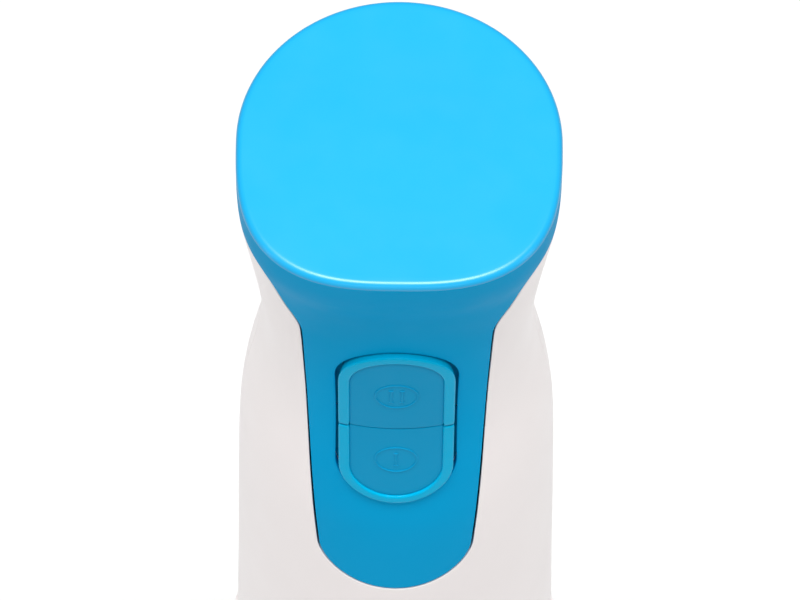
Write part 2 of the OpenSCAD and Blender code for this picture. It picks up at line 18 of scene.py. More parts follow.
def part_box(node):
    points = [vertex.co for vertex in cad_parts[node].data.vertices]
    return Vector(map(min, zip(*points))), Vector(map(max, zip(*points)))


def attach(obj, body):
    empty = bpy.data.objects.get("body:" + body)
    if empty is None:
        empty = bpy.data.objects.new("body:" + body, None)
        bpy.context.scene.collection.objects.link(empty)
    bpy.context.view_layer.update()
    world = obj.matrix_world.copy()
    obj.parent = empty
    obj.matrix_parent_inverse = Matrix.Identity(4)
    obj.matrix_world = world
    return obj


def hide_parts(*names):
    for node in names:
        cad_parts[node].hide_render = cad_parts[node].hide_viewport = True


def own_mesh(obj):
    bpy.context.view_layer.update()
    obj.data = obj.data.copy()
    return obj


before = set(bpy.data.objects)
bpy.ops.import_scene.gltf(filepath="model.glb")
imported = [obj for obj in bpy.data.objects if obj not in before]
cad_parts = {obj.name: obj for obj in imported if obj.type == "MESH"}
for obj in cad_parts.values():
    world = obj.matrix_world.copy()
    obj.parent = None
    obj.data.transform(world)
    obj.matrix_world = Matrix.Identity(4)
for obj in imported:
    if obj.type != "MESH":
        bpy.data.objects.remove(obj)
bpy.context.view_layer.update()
MM = 0.001
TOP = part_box("top_cover")[1].z / MM
print("CAD nodes", len(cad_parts), "height", round(TOP, 1), "mm")

# %% [markdown]
# The camera comes before any shape, because proportions can only be judged from the right place. It looks
# down at the handle from sixty degrees above the horizon and about a metre away, through a long lens, as a
# product picture does. The top fills the upper half of the view and the arm is hidden under the handle.

# %% Camera
VIEW_ELEVATION = math.radians(60)
VIEW_DISTANCE = 1.0
VIEW_ROLL = math.radians(0.65)
LENS = 243
AIM_BELOW_TOP, AIM_RIGHT = 0.030, 0.00043

top_middle = Vector((0, 0, TOP * MM))
towards_camera = Vector((0, -math.cos(VIEW_ELEVATION), math.sin(VIEW_ELEVATION)))
picture_up = Vector((0, math.sin(VIEW_ELEVATION), math.cos(VIEW_ELEVATION)))
aim = top_middle - picture_up * AIM_BELOW_TOP + Vector((AIM_RIGHT, 0, 0))
camera = bpy.data.objects.new("camera", bpy.data.cameras.new("camera"))
bpy.context.scene.collection.objects.link(camera)
camera.location = top_middle + towards_camera * VIEW_DISTANCE
camera.rotation_mode = "QUATERNION"
look = (aim - camera.location).to_track_quat("-Z", "Y")
camera.rotation_quaternion = look @ Quaternion((0, 0, 1), VIEW_ROLL)
camera.data.lens = LENS
camera.data.clip_start = 0.05
camera.data.clip_end = 50
bpy.context.scene.camera = camera
bpy.context.scene.view_settings.view_transform = "Standard"
print("camera at", [round(c, 3) for c in camera.location])

# %% [markdown]
# A colour is given as an sRGB hex value, but shaders work in linear light, so one function converts
# them. A second small function adds a shader node: a value that is another node's output becomes a link, and
# any other value is set on the input or the property of that name.

# %% Colour and node helpers
def linear(hex_code):
    """An sRGB hex colour as linear RGBA."""
    channels = [int(hex_code[i:i + 2], 16) / 255 for i in (1, 3, 5)]
    return [c / 12.92 if c <= 0.04045 else ((c + 0.055) / 1.055) ** 2.4 for c in channels] + [1.0]


def add_node(tree, kind, settings):
    """Adds a node of a kind, with its properties, input values and links."""
    made = tree.nodes.new(kind)
    for key, value in settings.items():
        if isinstance(value, bpy.types.NodeSocket):
            tree.links.new(value, made.inputs[key])
        elif isinstance(key, int) or key in made.inputs:
            made.inputs[key].default_value = value
        else:
            setattr(made, key, value)
    return made


def new_material(name):
    """An empty material, its node tree and its Principled shader."""
    material = bpy.data.materials.new(name)
    material.use_nodes = True
    tree = material.node_tree
    return material, tree, tree.nodes["Principled BSDF"]


COVER_BLUE = "#0F93C4"
print("blue of the cover in linear light", [round(c, 3) for c in linear(COVER_BLUE)[:3]])

# %% [markdown]
# The blender stands on a plain pale floor, a matt paper that looks the same to every ray. One large softbox
# hangs overhead and a weaker one stands in front, so the flat top gets more light than the upright faces:
# that is what makes the top glow while the front panel stays a deeper blue. A narrow strip on each side draws
# a soft line down the steel tube, which would look flat grey in even light.

# %% Floor and light
def softbox(name, place, target, size, watts):
    """A rectangular soft light that faces a target."""
    lamp = bpy.data.lights.new(name, "AREA")
    lamp.shape = "RECTANGLE"
    lamp.size, lamp.size_y = size
    lamp.energy = watts
    made = bpy.data.objects.new(name, lamp)
    made.location = place
    made.rotation_mode = "QUATERNION"
    made.rotation_quaternion = (Vector(target) - Vector(place)).to_track_quat("-Z", "Y")
    bpy.context.scene.collection.objects.link(made)


FLOOR_HALF = 6.0
floor_mesh = bpy.data.meshes.new("floor")
corners = [(-FLOOR_HALF, -FLOOR_HALF, 0), (FLOOR_HALF, -FLOOR_HALF, 0), (FLOOR_HALF, FLOOR_HALF, 0),
           (-FLOOR_HALF, FLOOR_HALF, 0)]
floor_mesh.from_pydata(corners, [], [(0, 1, 2, 3)])
floor = bpy.data.objects.new("floor", floor_mesh)
bpy.context.scene.collection.objects.link(floor)
floor_paper, tree, shader = new_material("paper_pale_matt")
shader.inputs["Base Color"].default_value = linear("#E2E2E2")
shader.inputs["Roughness"].default_value = 0.9
shader.inputs["Specular IOR Level"].default_value = 0.0
floor_mesh.materials.append(floor_paper)

world = bpy.data.worlds.new("studio")
bpy.context.scene.world = world
world.use_nodes = True
world.node_tree.nodes["Background"].inputs["Color"].default_value = linear("#FFFFFF")
world.node_tree.nodes["Background"].inputs["Strength"].default_value = 0.3
HANDLE_MIDDLE, WAIST_MIDDLE = (0, 0, 0.3), (0, 0, 0.25)
softbox("overhead_softbox", (0, -0.15, 1.8), HANDLE_MIDDLE, (1.0, 0.6), 38)
softbox("front_softbox", (0, -1.8, 1.0), HANDLE_MIDDLE, (1.2, 0.8), 3)
for name, side in (("left_strip", -1), ("right_strip", 1)):
    softbox(name, (side * 1.3, -0.5, 0.6), WAIST_MIDDLE, (0.16, 1.2), 1.6)

# %% [markdown]
# Most of what shows is injection-moulded plastic. The mould's spark-eroded skin leaves a grain of about a
# fifth of a millimetre, flow leaves cloudy patches a few centimetres across where the gloss and the colour
# drift a little, and handling leaves faint smears that change only the roughness. One function makes
# them all, because only the colour, gloss and grain differ from part to part.

# %% Moulded plastics
CLOUD_MM, SMEAR_MM = 25, 9      # the size of the patches in the colour and in the gloss


def moulded(name, colour, roughness, grain_mm=0.2, depth_mm=0.004, drift=0.03, gleam=0.5):
    """Moulded plastic: a base colour with slow drift, a fine grain and uneven gloss."""
    material, tree, shader = new_material(name)
    place = add_node(tree, "ShaderNodeTexCoord", {}).outputs["Object"]
    cloud = add_node(tree, "ShaderNodeTexNoise", {
        "Vector": place, "Scale": 1 / (CLOUD_MM * MM), "Detail": 2.0})
    base = linear(colour)
    darker = [c * (1 - drift) for c in base[:3]] + [1.0]
    lighter = [min(c * (1 + drift), 1) for c in base[:3]] + [1.0]
    tint = add_node(tree, "ShaderNodeMix", {
        "data_type": "RGBA", 0: cloud.outputs["Fac"], 6: darker, 7: lighter})
    smear = add_node(tree, "ShaderNodeTexNoise", {
        "Vector": place, "Scale": 1 / (SMEAR_MM * MM), "Detail": 4.0})
    gloss = add_node(tree, "ShaderNodeMapRange", {
        "Value": smear.outputs["Fac"], "From Min": 0.3, "From Max": 0.7,
        "To Min": roughness * 0.92, "To Max": roughness * 1.1})
    grain = add_node(tree, "ShaderNodeTexNoise", {
        "Vector": place, "Scale": 1 / (grain_mm * MM), "Detail": 1.0})
    bump = add_node(tree, "ShaderNodeBump", {
        "Height": grain.outputs["Fac"], "Distance": depth_mm * MM, "Strength": 1.0})
    tree.links.new(tint.outputs[2], shader.inputs["Base Color"])
    tree.links.new(gloss.outputs[0], shader.inputs["Roughness"])
    tree.links.new(bump.outputs[0], shader.inputs["Normal"])
    shader.inputs["IOR"].default_value = 1.5
    shader.inputs["Specular IOR Level"].default_value = gleam
    return material


# ABS from a lightly polished part of the mould: bright and even, and the light softly shows in it.
blue_abs = moulded("abs_blue_semi_gloss_moulded", COVER_BLUE, 0.3, depth_mm=0.002, gleam=0.45)
# The same ABS from a finely etched part of the mould: satin, so its own colour stays deep and clean.
blue_abs_satin = moulded("abs_blue_satin_moulded", "#009DD2", 0.45, depth_mm=0.004, gleam=0.01)
# The same ABS from a polished part of the mould: the key rims catch crisp lights.
blue_abs_polished = moulded("abs_blue_polished_moulded", "#00A9D4", 0.12, depth_mm=0.0005, gleam=0.05)
# Soft-touch elastomer over the keys: no gloss to speak of, and greyer than the plastic round it.
soft_touch = moulded("tpe_blue_soft_touch_moulded", "#0393C2", 0.5, grain_mm=0.25, depth_mm=0.006, gleam=0.05)
# Warm white ABS of the housing, semi-gloss.
white_abs = moulded("abs_white_semi_gloss_moulded", "#F0E9E8", 0.3, depth_mm=0.003, drift=0.012)
blue_rubber = moulded("rubber_blue_satin_moulded", "#1B84B4", 0.5, grain_mm=0.3, depth_mm=0.008)
black_rubber = moulded("nitrile_rubber_black_moulded", "#1E1F21", 0.62, grain_mm=0.3, depth_mm=0.01)
grey_nylon = moulded("nylon_grey_glass_filled_moulded", "#8A8D90", 0.45, grain_mm=0.25, depth_mm=0.008)
dark_nylon = moulded("phenolic_black_moulded", "#2A2422", 0.4)
board_green = moulded("fr4_green_solder_mask", "#2C6B45", 0.35)
capacitor_resin = moulded("epoxy_yellow_dipped", "#C98F1D", 0.3, grain_mm=0.6)
lead_pvc = moulded("pvc_brown_extruded", "#7A4026", 0.4)
graphite = moulded("graphite_pressed", "#2B2B2D", 0.55, grain_mm=0.3, depth_mm=0.02)
print("plastics made", len([m for m in bpy.data.materials if "mould" in m.name]))

# %% [markdown]
# The arm and the bell are stainless steel. A drawn tube is polished with belts that run round it and a spun
# bell keeps the rings of its tool, so on both the fine lines lie level: noise is squeezed hard along Z and
# left wide across. Ground parts such as the blade have the same lines along their length.

# %% Metals
HANDLED_MM = 18         # the size of the patches that handling leaves


def metal(name, colour, roughness, line_mm=(6, 6, 0.25), depth_mm=0.0015, spread=0.25):
    """Bare metal with fine lines: noise stretched by a different size along each axis."""
    material, tree, shader = new_material(name)
    place = add_node(tree, "ShaderNodeTexCoord", {}).outputs["Object"]
    squeezed = add_node(tree, "ShaderNodeMapping", {
        "Vector": place, "Scale": [1 / (size * MM) for size in line_mm]})
    lines = add_node(tree, "ShaderNodeTexNoise", {
        "Vector": squeezed.outputs[0], "Scale": 1.0, "Detail": 3.0, "Roughness": 0.6})
    gloss = add_node(tree, "ShaderNodeMapRange", {
        "Value": lines.outputs["Fac"], "From Min": 0.3, "From Max": 0.7,
        "To Min": roughness * (1 - spread), "To Max": roughness * (1 + spread)})
    handled = add_node(tree, "ShaderNodeTexNoise", {
        "Vector": place, "Scale": 1 / (HANDLED_MM * MM), "Detail": 3.0})
    base = linear(colour)
    duller = [c * 0.9 for c in base[:3]] + [1.0]
    tint = add_node(tree, "ShaderNodeMix", {
        "data_type": "RGBA", 0: handled.outputs["Fac"], 6: duller, 7: base})
    bump = add_node(tree, "ShaderNodeBump", {
        "Height": lines.outputs["Fac"], "Distance": depth_mm * MM, "Strength": 1.0})
    tree.links.new(tint.outputs[2], shader.inputs["Base Color"])
    tree.links.new(gloss.outputs[0], shader.inputs["Roughness"])
    tree.links.new(bump.outputs[0], shader.inputs["Normal"])
    shader.inputs["Metallic"].default_value = 1.0
    return material


stainless_polished = metal("stainless_steel_belt_polished", "#D6D6D6", 0.2)
stainless_ground = metal("stainless_steel_ground", "#CFCFCF", 0.25, line_mm=(4, 0.15, 0.15))
zinc_steel = metal("steel_zinc_plated", "#AEB2B6", 0.35, line_mm=(1.5, 1.5, 1.5), depth_mm=0.004)
spring_steel = metal("spring_steel_drawn", "#A4A6A8", 0.3, line_mm=(0.6, 0.6, 0.6))
sintered_bronze = metal("bronze_sintered", "#A57B45", 0.45, line_mm=(0.2, 0.2, 0.2), depth_mm=0.01)
lamination_steel = metal("silicon_steel_laminated", "#7E8286", 0.5, line_mm=(30, 30, 0.5), depth_mm=0.05)
copper_wire = metal("copper_enamelled_wound", "#A9542A", 0.35, line_mm=(8, 8, 0.4), depth_mm=0.08)
commutator_copper = metal("copper_turned", "#B87744", 0.25, line_mm=(6, 6, 0.1))
print("materials so far", len(bpy.data.materials))

# %% [markdown]
# The handle's body is one rule. At each depth below the top its outline is a squarish front and a round
# rear that meet at the sides, and a few stations down the handle give the half width, the reach to the
# front, the reach to the rear and the squareness. A smooth cubic joins the stations. The same rule draws the
# cover and both housings, which is why their surfaces flow into each other across the seams.

# %% The rule of the handle
ROUND_TOP = 1.4
STATIONS = np.array([
    [ROUND_TOP, 30.3, 31.5, 30.1, 2.85], [10, 30.3, 30.2, 30.1, 2.8], [22, 29.6, 26.8, 28.9, 2.6],
    [34, 28.4, 25.1, 27.4, 2.5], [47, 27.1, 24.9, 26.7, 2.4], [60, 26.3, 25.8, 26.6, 2.3],
    [74, 27.5, 27.4, 27.9, 2.2], [90, 30.1, 29.4, 30.1, 2.15], [104, 31.5, 31.0, 31.5, 2.1],
    [130, 32.4, 32.3, 32.4, 2.05], [170, 33.3, 33.3, 33.3, 2.0], [206, 34.1, 34.1, 34.1, 2.0],
    [217, 33.6, 33.6, 33.6, 2.0], [224, 31.2, 31.2, 31.2, 2.0]])


def outline(depth):
    """Half width, front reach, rear reach and squareness at each depth, by cubics through the stations."""
    s = STATIONS
    slopes = np.gradient(s[:, 1:], axis=0)
    slopes[1:-1] = (s[2:, 1:] - s[:-2, 1:]) / (s[2:, :1] - s[:-2, :1])
    slopes[0] = (s[1, 1:] - s[0, 1:]) / (s[1, 0] - s[0, 0])
    slopes[-1] = (s[-1, 1:] - s[-2, 1:]) / (s[-1, 0] - s[-2, 0])
    depth = np.clip(np.atleast_1d(depth).astype(float), s[0, 0], s[-1, 0])
    i = np.clip(np.searchsorted(s[:, 0], depth, side="right") - 1, 0, len(s) - 2)
    span = (s[i + 1, 0] - s[i, 0])[:, None]
    t = (depth[:, None] - s[i, :1]) / span
    return ((2 * t**3 - 3 * t**2 + 1) * s[i, 1:] + (t**3 - 2 * t**2 + t) * span * slopes[i]
            + (3 * t**2 - 2 * t**3) * s[i + 1, 1:] + (t**3 - t**2) * span * slopes[i + 1])


ARC = 30.0      # millimetres of unrolled width for each radian round the handle


def on_handle(uv, inset=0.0):
    """Points of the handle's surface, from unrolled width and height, brought in by an inset."""
    angle, height = uv[:, 0] / ARC, uv[:, 1]
    half, front, rear, power = outline(TOP - height).T
    forward = np.cos(angle) > 0
    reach = np.where(forward, front, rear) - inset
    n = np.where(forward, power, 2.0)
    across = np.abs(np.sin(angle)) / (half - inset)
    along = np.abs(np.cos(angle)) / reach
    r = (across**n + along**n) ** (-1 / n)
    return np.column_stack([r * np.sin(angle), -r * np.cos(angle), height])


def unrolled(x, height):
    """Where a point of the handle's front lies when unrolled, from its distance across and its height."""
    x, height = np.broadcast_arrays(np.asarray(x, float), np.asarray(height, float))
    half, front, _, power = outline(TOP - height.ravel()).T
    y = front * (1 - np.minimum(np.abs(x.ravel()) / half, 1) ** power) ** (1 / power)
    return np.column_stack([ARC * np.arctan2(x.ravel(), y), height.ravel()])


waist = outline(60)[0]
print("the waist is", round(2 * waist[0], 1), "mm wide")

# %% [markdown]
# A thin moulding is a surface with holes, a rounded edge and a back. The surface is drawn flat first, in its
# own unrolled width and height, because an outline with a hole is easy to fill there: a Delaunay fill makes
# even triangles between the borders.

# %% Filling an outline
def resample(points, step):
    """The same closed line with points about one step apart, keeping its own points."""
    made = []
    for a, b in zip(points, np.roll(points, -1, axis=0)):
        count = max(int(round(np.linalg.norm(b - a) / step)), 1)
        made.extend(a + (b - a) * k / count for k in range(count))
    return np.array(made)


def inside(points, loops):
    """Which points lie inside closed loops, holes included, by counting crossings."""
    result = np.zeros(len(points), bool)
    for loop in loops:
        for a, b in zip(loop, np.roll(loop, -1, axis=0)):
            if a[1] == b[1]:
                continue
            crosses = (a[1] > points[:, 1]) != (b[1] > points[:, 1])
            at = a[0] + (points[:, 1] - a[1]) * (b[0] - a[0]) / (b[1] - a[1])
            result ^= crosses & (points[:, 0] < at)
    return result


def fill(loops, step):
    """Even triangles inside loops: (points, triangles)."""
    border = np.vstack(loops)
    low, high = border.min(0), border.max(0)
    columns = np.arange(low[0] + step / 2, high[0], step)
    rows = np.arange(low[1] + step / 2, high[1], step * 0.866)
    grid = np.array([[u + (step / 2 if k % 2 else 0), v] for k, v in enumerate(rows) for u in columns])
    grid = grid[inside(grid, loops)]
    near = np.zeros(len(grid), bool)
    for p in border:
        near |= ((grid - p) ** 2).sum(1) < (0.62 * step) ** 2
    points = np.vstack([border, grid[~near]])
    edges, start = [], 0
    for loop in loops:
        edges += [(start + k, start + (k + 1) % len(loop)) for k in range(len(loop))]
        start += len(loop)
    out = delaunay_2d_cdt([Vector(p) for p in points], edges, [], 0, 1e-5)
    flat = np.array([tuple(p) for p in out[0]])
    faces = np.array([f for f in out[2] if len(f) == 3])
    return flat, faces[inside(flat[faces].mean(1), loops)]


square = resample(np.array([[0, 0], [10, 0], [10, 10], [0, 10.0]]), 1.0)
print("a 10 mm square fills with", len(fill([square], 1.0)[1]), "triangles")

# %% [markdown]
# Each piece is gathered as points and faces in millimetres and becomes one mesh at the end. Points that
# coincide are welded, so that a face and its walls are one skin, and the shading is smooth up to real edges.
# The piece then stands for a CAD node, so it moves with that node's body.

# %% Building a mesh
class Build:
    """Collects points and faces in millimetres and makes one clean mesh of them."""

    def __init__(self):
        self.points, self.faces = [], []

    def add(self, points, faces):
        """Adds faces that count from the first of these points."""
        start = len(self.points)
        self.points.extend(tuple(p) for p in points)
        self.faces.extend(tuple(start + i for i in f) for f in faces)

    def strip(self, first, second):
        """Quads between two closed rows of points."""
        n = len(first)
        quads = [(k, (k + 1) % n, n + (k + 1) % n, n + k) for k in range(n)]
        self.add(np.vstack([first, second]), quads)

    def mesh(self, name, material, sharp=35):
        """The piece as an object, smooth but for edges sharper than an angle in degrees."""
        data = bpy.data.meshes.new(name)
        data.from_pydata([Vector(p) * MM for p in self.points], [], self.faces)
        bm = bmesh.new()
        bm.from_mesh(data)
        bmesh.ops.remove_doubles(bm, verts=bm.verts, dist=2e-6)
        bmesh.ops.dissolve_degenerate(bm, edges=bm.edges, dist=1e-7)
        bm.to_mesh(data)
        bm.free()
        for face in data.polygons:
            face.use_smooth = True
        data.set_sharp_from_angle(angle=math.radians(sharp))
        data.materials.append(material)
        made = bpy.data.objects.new(name, data)
        bpy.context.scene.collection.objects.link(made)
        print(name, len(data.vertices), "points")
        return made


def stands_for(piece, body, node):
    """Fixes a piece to a body, in place of a CAD node, which is hidden."""
    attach(piece, body)
    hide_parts(node)


print("mesh builder ready")

# %% [markdown]
# A mapping bends the flat sheet onto the real surface. Each border gets rows that turn over the edge in a
# quarter circle and go down the wall, and a second sheet closes the back. Every point lies on the rule
# itself, so the gloss shows no facets. The handle's mouldings come out of their moulds front to back, so on
# the front and the rear their walls run straight along Y.

# %% Sheets with rounded edges
EDGE_TURNS = np.radians([18, 36, 54, 72, 90])


def ease(t):
    """An S-curve from 0 to 1."""
    t = np.clip(t, 0, 1)
    return t * t * (3 - 2 * t)


def normals(surface, uv):
    """Unit normals of a mapped surface."""
    h = 0.01
    du = surface(uv + [h, 0]) - surface(uv - [h, 0])
    dv = surface(uv + [0, h]) - surface(uv - [0, h])
    n = np.cross(du, dv)
    return n / np.linalg.norm(n, axis=1)[:, None]


def sheet(build, surface, borders, step, round_mm, wall, backed=None, seams=(), sink=None):
    """A moulded sheet. The first border is the outside and runs anticlockwise; holes run clockwise.

    surface(uv, inset) maps the flat sheet. A sheet that wraps right round gives its real edges in seams,
    because its flat outline has a cut that closes on itself. The walls of an opening go straight in, or
    along the directions that sink gives."""
    inner = backed or (lambda uv: surface(uv, wall))
    loops = [resample(np.asarray(b, float), step) for b in borders]
    flat, faces = fill(loops, step)
    build.add(surface(flat), faces)
    build.add(inner(flat), faces[:, ::-1])
    for loop in seams or loops:
        face = surface(loop)
        up = normals(surface, loop)
        ahead = np.roll(face, -1, axis=0) - np.roll(face, 1, axis=0)
        out = np.cross(ahead, up)
        out /= np.linalg.norm(out, axis=1)[:, None]
        rows = [face]
        for turn in EDGE_TURNS:
            rows.append(face + out * round_mm * math.sin(turn) - up * round_mm * (1 - math.cos(turn)))
        rows.append(face + out * round_mm - (sink(loop, up) if sink else up) * wall)
        rows.append(inner(loop))
        for a, b in zip(rows, rows[1:]):
            build.strip(b, a)


def drawn(up):
    """Wall directions: along Y on the front and rear, as the mould draws, and square on the sides."""
    share = ease((np.abs(up[:, 1]) - 0.3) / 0.35)[:, None]
    along = np.column_stack([0 * up[:, 0], 1 / np.where(np.abs(up[:, 1]) < 0.2, 1, up[:, 1]), 0 * up[:, 0]])
    return up * (1 - share) + along * share


def handle_back(uv, wall):
    """The inner face of a handle moulding, one wall thickness in."""
    return on_handle(uv) - drawn(normals(on_handle, uv)) * wall


front_wall = handle_back(unrolled(0, TOP - 60), 2.0)[0]
print("a 2 mm wall at the waist has its back at", [round(c, 2) for c in front_wall])

# %% [markdown]
# The cover's edge is drawn as one curve on the unrolled handle: level round the back and the sides, then it
# leaves the band at each front corner, sweeps in under the brow, runs almost straight past the keys and
# closes in a round tip. A smooth curve through a few chosen points does it, and the housing takes the same
# curve grown by the seam.

# %% The cover's edge
BAND = 10.5
SEAM = 0.25
EDGE_ROUND = 0.18
HOUSING_FOOT = 176.0
EDGE = np.array([
    [28.6, BAND], [26.9, 11.0], [25.4, 12.6], [24.2, 16], [23.2, 20], [22.1, 24], [20.8, 28], [19.3, 31.5],
    [18.3, 35], [18.0, 40], [17.8, 48], [17.5, 58], [17.1, 72], [16.6, 88], [16.0, 102], [15.4, 112.5]])
TIP = 127.0


def smooth(points, count):
    """A smooth curve through points, by Catmull-Rom pieces."""
    p = np.vstack([2 * points[0] - points[1], points, 2 * points[-1] - points[-2]])
    made = []
    for a, b, c, d in zip(p, p[1:], p[2:], p[3:]):
        for t in np.arange(count) / count:
            made.append(0.5 * (2 * b + (c - a) * t + (2 * a - 5 * b + 4 * c - d) * t**2
                               + (3 * b - a - 3 * c + d) * t**3))
    return np.array(made + [points[-1]])


def front_edge(grow):
    """The cover's edge over the front from its left corner to its right, unrolled and grown."""
    side = smooth(EDGE, 4)
    wide, deep = EDGE[-1]
    turn = np.radians(np.arange(7.5, 90, 7.5))
    tip = np.column_stack([wide * np.cos(turn), deep + (TIP - deep) * np.sin(turn)])
    right = np.vstack([side, tip])
    middle = np.array([[0, TIP]])
    whole = np.vstack([right * [-1, 1], middle, right[::-1]])
    flat = unrolled(whole[:, 0], TOP - whole[:, 1])
    along = np.roll(flat, -1, axis=0) - np.roll(flat, 1, axis=0)
    along[0], along[-1] = [1, 0], [1, 0]
    away = np.column_stack([along[:, 1], -along[:, 0]]) / np.linalg.norm(along, axis=1)[:, None]
    return flat + away * grow


def stadium(radius, reach, middle=(0.0, 0.0), sideways=False, count=16):
    """A clockwise outline with two straight sides and two round ends."""
    turn = np.linspace(0, math.pi, count + 1)
    upper = np.column_stack([-radius * np.cos(turn), reach + radius * np.sin(turn)])
    ring = np.vstack([upper, -upper])
    if sideways:
        ring = ring[:, ::-1] * [1, -1]
    return ring + middle


print("edge points", len(front_edge(0)))

# %% [markdown]
# The cover is the piece that makes this blender: one bright blue moulding, with a flat top, a brow that
# catches the light and a long tongue with the keys' opening. The sheet maker gives the band and the tongue.
# The flat top is added as rings that turn over the edge and then shrink to the middle, so that the turn is
# a true quarter circle and the highlight along the brow is one clean line.

# %% Top cover
KEY_MIDDLE = 65.15
KEY_REACH = 15.0
KEY_RADIUS = 11.45
KEY_GAP = 0.45
COVER_WALL = 2.0
CEILING = TOP - COVER_WALL - 0.4
STEP = 0.9


def full_turn(height, count=210):
    """A level row right round the handle, from the back seam to the back seam."""
    angles = np.linspace(-math.pi, math.pi, count + 1)
    return np.column_stack([ARC * angles, np.full(count + 1, float(height))])


def close_over(build, row, height, turned_over=False):
    """Closes a level row with a fan of triangles round the axis."""
    n = len(row)
    fan = [(n, (k + 1) % n, k) if turned_over else (k, (k + 1) % n, n) for k in range(n)]
    build.add(np.vstack([row, [[0, 0, height]]]), fan)


cover = Build()
upper_row = full_turn(TOP - ROUND_TOP)
low_height = TOP - BAND + EDGE_ROUND
edge = front_edge(-EDGE_ROUND)
back_left = full_turn(low_height)
back_left = back_left[back_left[:, 0] < edge[0, 0] - 0.5]
back_right = back_left[::-1] * [-1, 1]
low_row = np.vstack([back_left, edge, back_right])
low_row[:, 0] = np.clip(low_row[:, 0], -ARC * math.pi, ARC * math.pi)
key_hole = stadium(KEY_RADIUS + KEY_GAP + EDGE_ROUND, KEY_REACH, (0, TOP - KEY_MIDDLE), count=28)
key_hole = unrolled(key_hole[:, 0], key_hole[:, 1])
flat_border = np.vstack([low_row, upper_row[::-1]])
dense_low = resample(flat_border, STEP)
cut = int(np.argmin(((dense_low - low_row[-1]) ** 2).sum(1)))
sheet(cover, on_handle, [flat_border, key_hole], STEP, EDGE_ROUND, COVER_WALL,
      backed=lambda uv: handle_back(uv, COVER_WALL), sink=lambda loop, up: drawn(up),
      seams=[dense_low[:cut], resample(key_hole, STEP)])

rows = []
for turn in np.radians(np.arange(0, 91, 9)):
    ring = on_handle(upper_row[:-1], ROUND_TOP * (1 - math.cos(turn)))
    ring[:, 2] = TOP - ROUND_TOP * (1 - math.sin(turn))
    rows.append(ring)
rows += [rows[-1] * [share, share, 1] for share in (0.97, 0.9, 0.8, 0.68, 0.55, 0.42, 0.3, 0.18, 0.07)]
for a, b in zip(rows, rows[1:]):
    cover.strip(a, b)
close_over(cover, rows[-1], TOP)
under = [handle_back(upper_row[:-1], COVER_WALL)]
for share in (0.99, 0.8, 0.5, 0.2):
    flat_ring = under[0] * [share, share, 1]
    flat_ring[:, 2] = CEILING
    under.append(flat_ring)
for a, b in zip(under, under[1:]):
    cover.strip(b, a)
close_over(cover, under[-1], CEILING, turned_over=True)
top_shell = cover.mesh("top_shell", blue_abs)
top_shell.data.materials.append(blue_abs_satin)
for face in top_shell.data.polygons:
    face.material_index = int(face.center.z < (TOP - ROUND_TOP) * MM)
stands_for(top_shell, "motor_unit", "top_cover")

# %% [markdown]
# The white housing is two halves that meet down the sides, so each is drawn from one side seam to the other,
# and both have half of each release button's opening. The walls at those openings run along X, the way the
# buttons move, and the foot turns inward to hold the coupling base.

# %% Housing borders
HOUSING_WALL = 2.2
LIP = 5.0           # how far the foot turns inward to hold the coupling base
BUTTON_RADIUS = 4.3
BUTTON_MID = 2.8
BUTTON_HEIGHT = 189.0
BUTTON_GAP = 0.3
SIDE = ARC * math.pi / 2
FOOT_THICK, FOOT_BLEND = 2.1, 0.4


def housing_back(uv):
    """The inner face: one wall thickness in, and turned inward at the foot."""
    foot = np.clip((HOUSING_FOOT + FOOT_THICK - uv[:, 1]) / FOOT_BLEND, 0, 1)[:, None]
    return handle_back(uv, HOUSING_WALL) * (1 - foot) + on_handle(uv, LIP) * foot


def side_seam(side, into, downwards):
    """One side seam, with half of the release button's opening.

    The sheet lies to the right of it where into is 1 and to the left where into is -1."""
    radius = BUTTON_RADIUS + BUTTON_GAP + EDGE_ROUND
    turn = np.linspace(-math.pi / 2, math.pi / 2, 17)
    unroll = ARC / outline(TOP - BUTTON_HEIGHT)[0][0]
    notch = np.column_stack([(BUTTON_MID + radius * np.cos(turn)) * unroll,
                             BUTTON_HEIGHT + radius * np.sin(turn)])
    low = HOUSING_FOOT + EDGE_ROUND
    high = TOP - BAND - SEAM - EDGE_ROUND
    line = np.vstack([[[EDGE_ROUND, low], [EDGE_ROUND, BUTTON_HEIGHT - radius]], notch,
                      [[EDGE_ROUND, BUTTON_HEIGHT + radius], [EDGE_ROUND, high]]])
    line = line * [into, 1] + [side * SIDE, 0]
    return line[::-1] if downwards else line


def button_walls(loop, up):
    """Wall directions of a housing half: as drawn from the mould, but along X at the buttons' openings."""
    level = np.column_stack([np.sign(up[:, 0]), 0 * up[:, 0], 0 * up[:, 0]])
    by_button = (np.abs(loop[:, 1] - BUTTON_HEIGHT) < BUTTON_RADIUS + 1) & (np.abs(up[:, 1]) < 0.4)
    return np.where(by_button[:, None], level, drawn(up))


print("a side seam has", len(side_seam(1, 1, True)), "points")

# %% [markdown]
# The front half stops at the cover's edge. Under the cover it carries on as a thin tray that carries the
# cover's long tongue. The tray stops short of the seam, so the seam looks into the dark inside: that is the
# fine dark line down each side of the tongue.

# %% Front housing
SEAM_SHADOW = 0.2       # the seam beside the tongue is drawn this much wider, so that it shows
TRAY_GAP, TRAY_WALL = 0.4, 1.6
TRAY_SHORT = 1.0        # how far inside the cover's edge the tray stops
TRAY_HOLE = 13.6


def tray(uv, inset=0.0):
    """The tray under the cover's tongue."""
    return on_handle(uv, COVER_WALL + TRAY_GAP + inset)


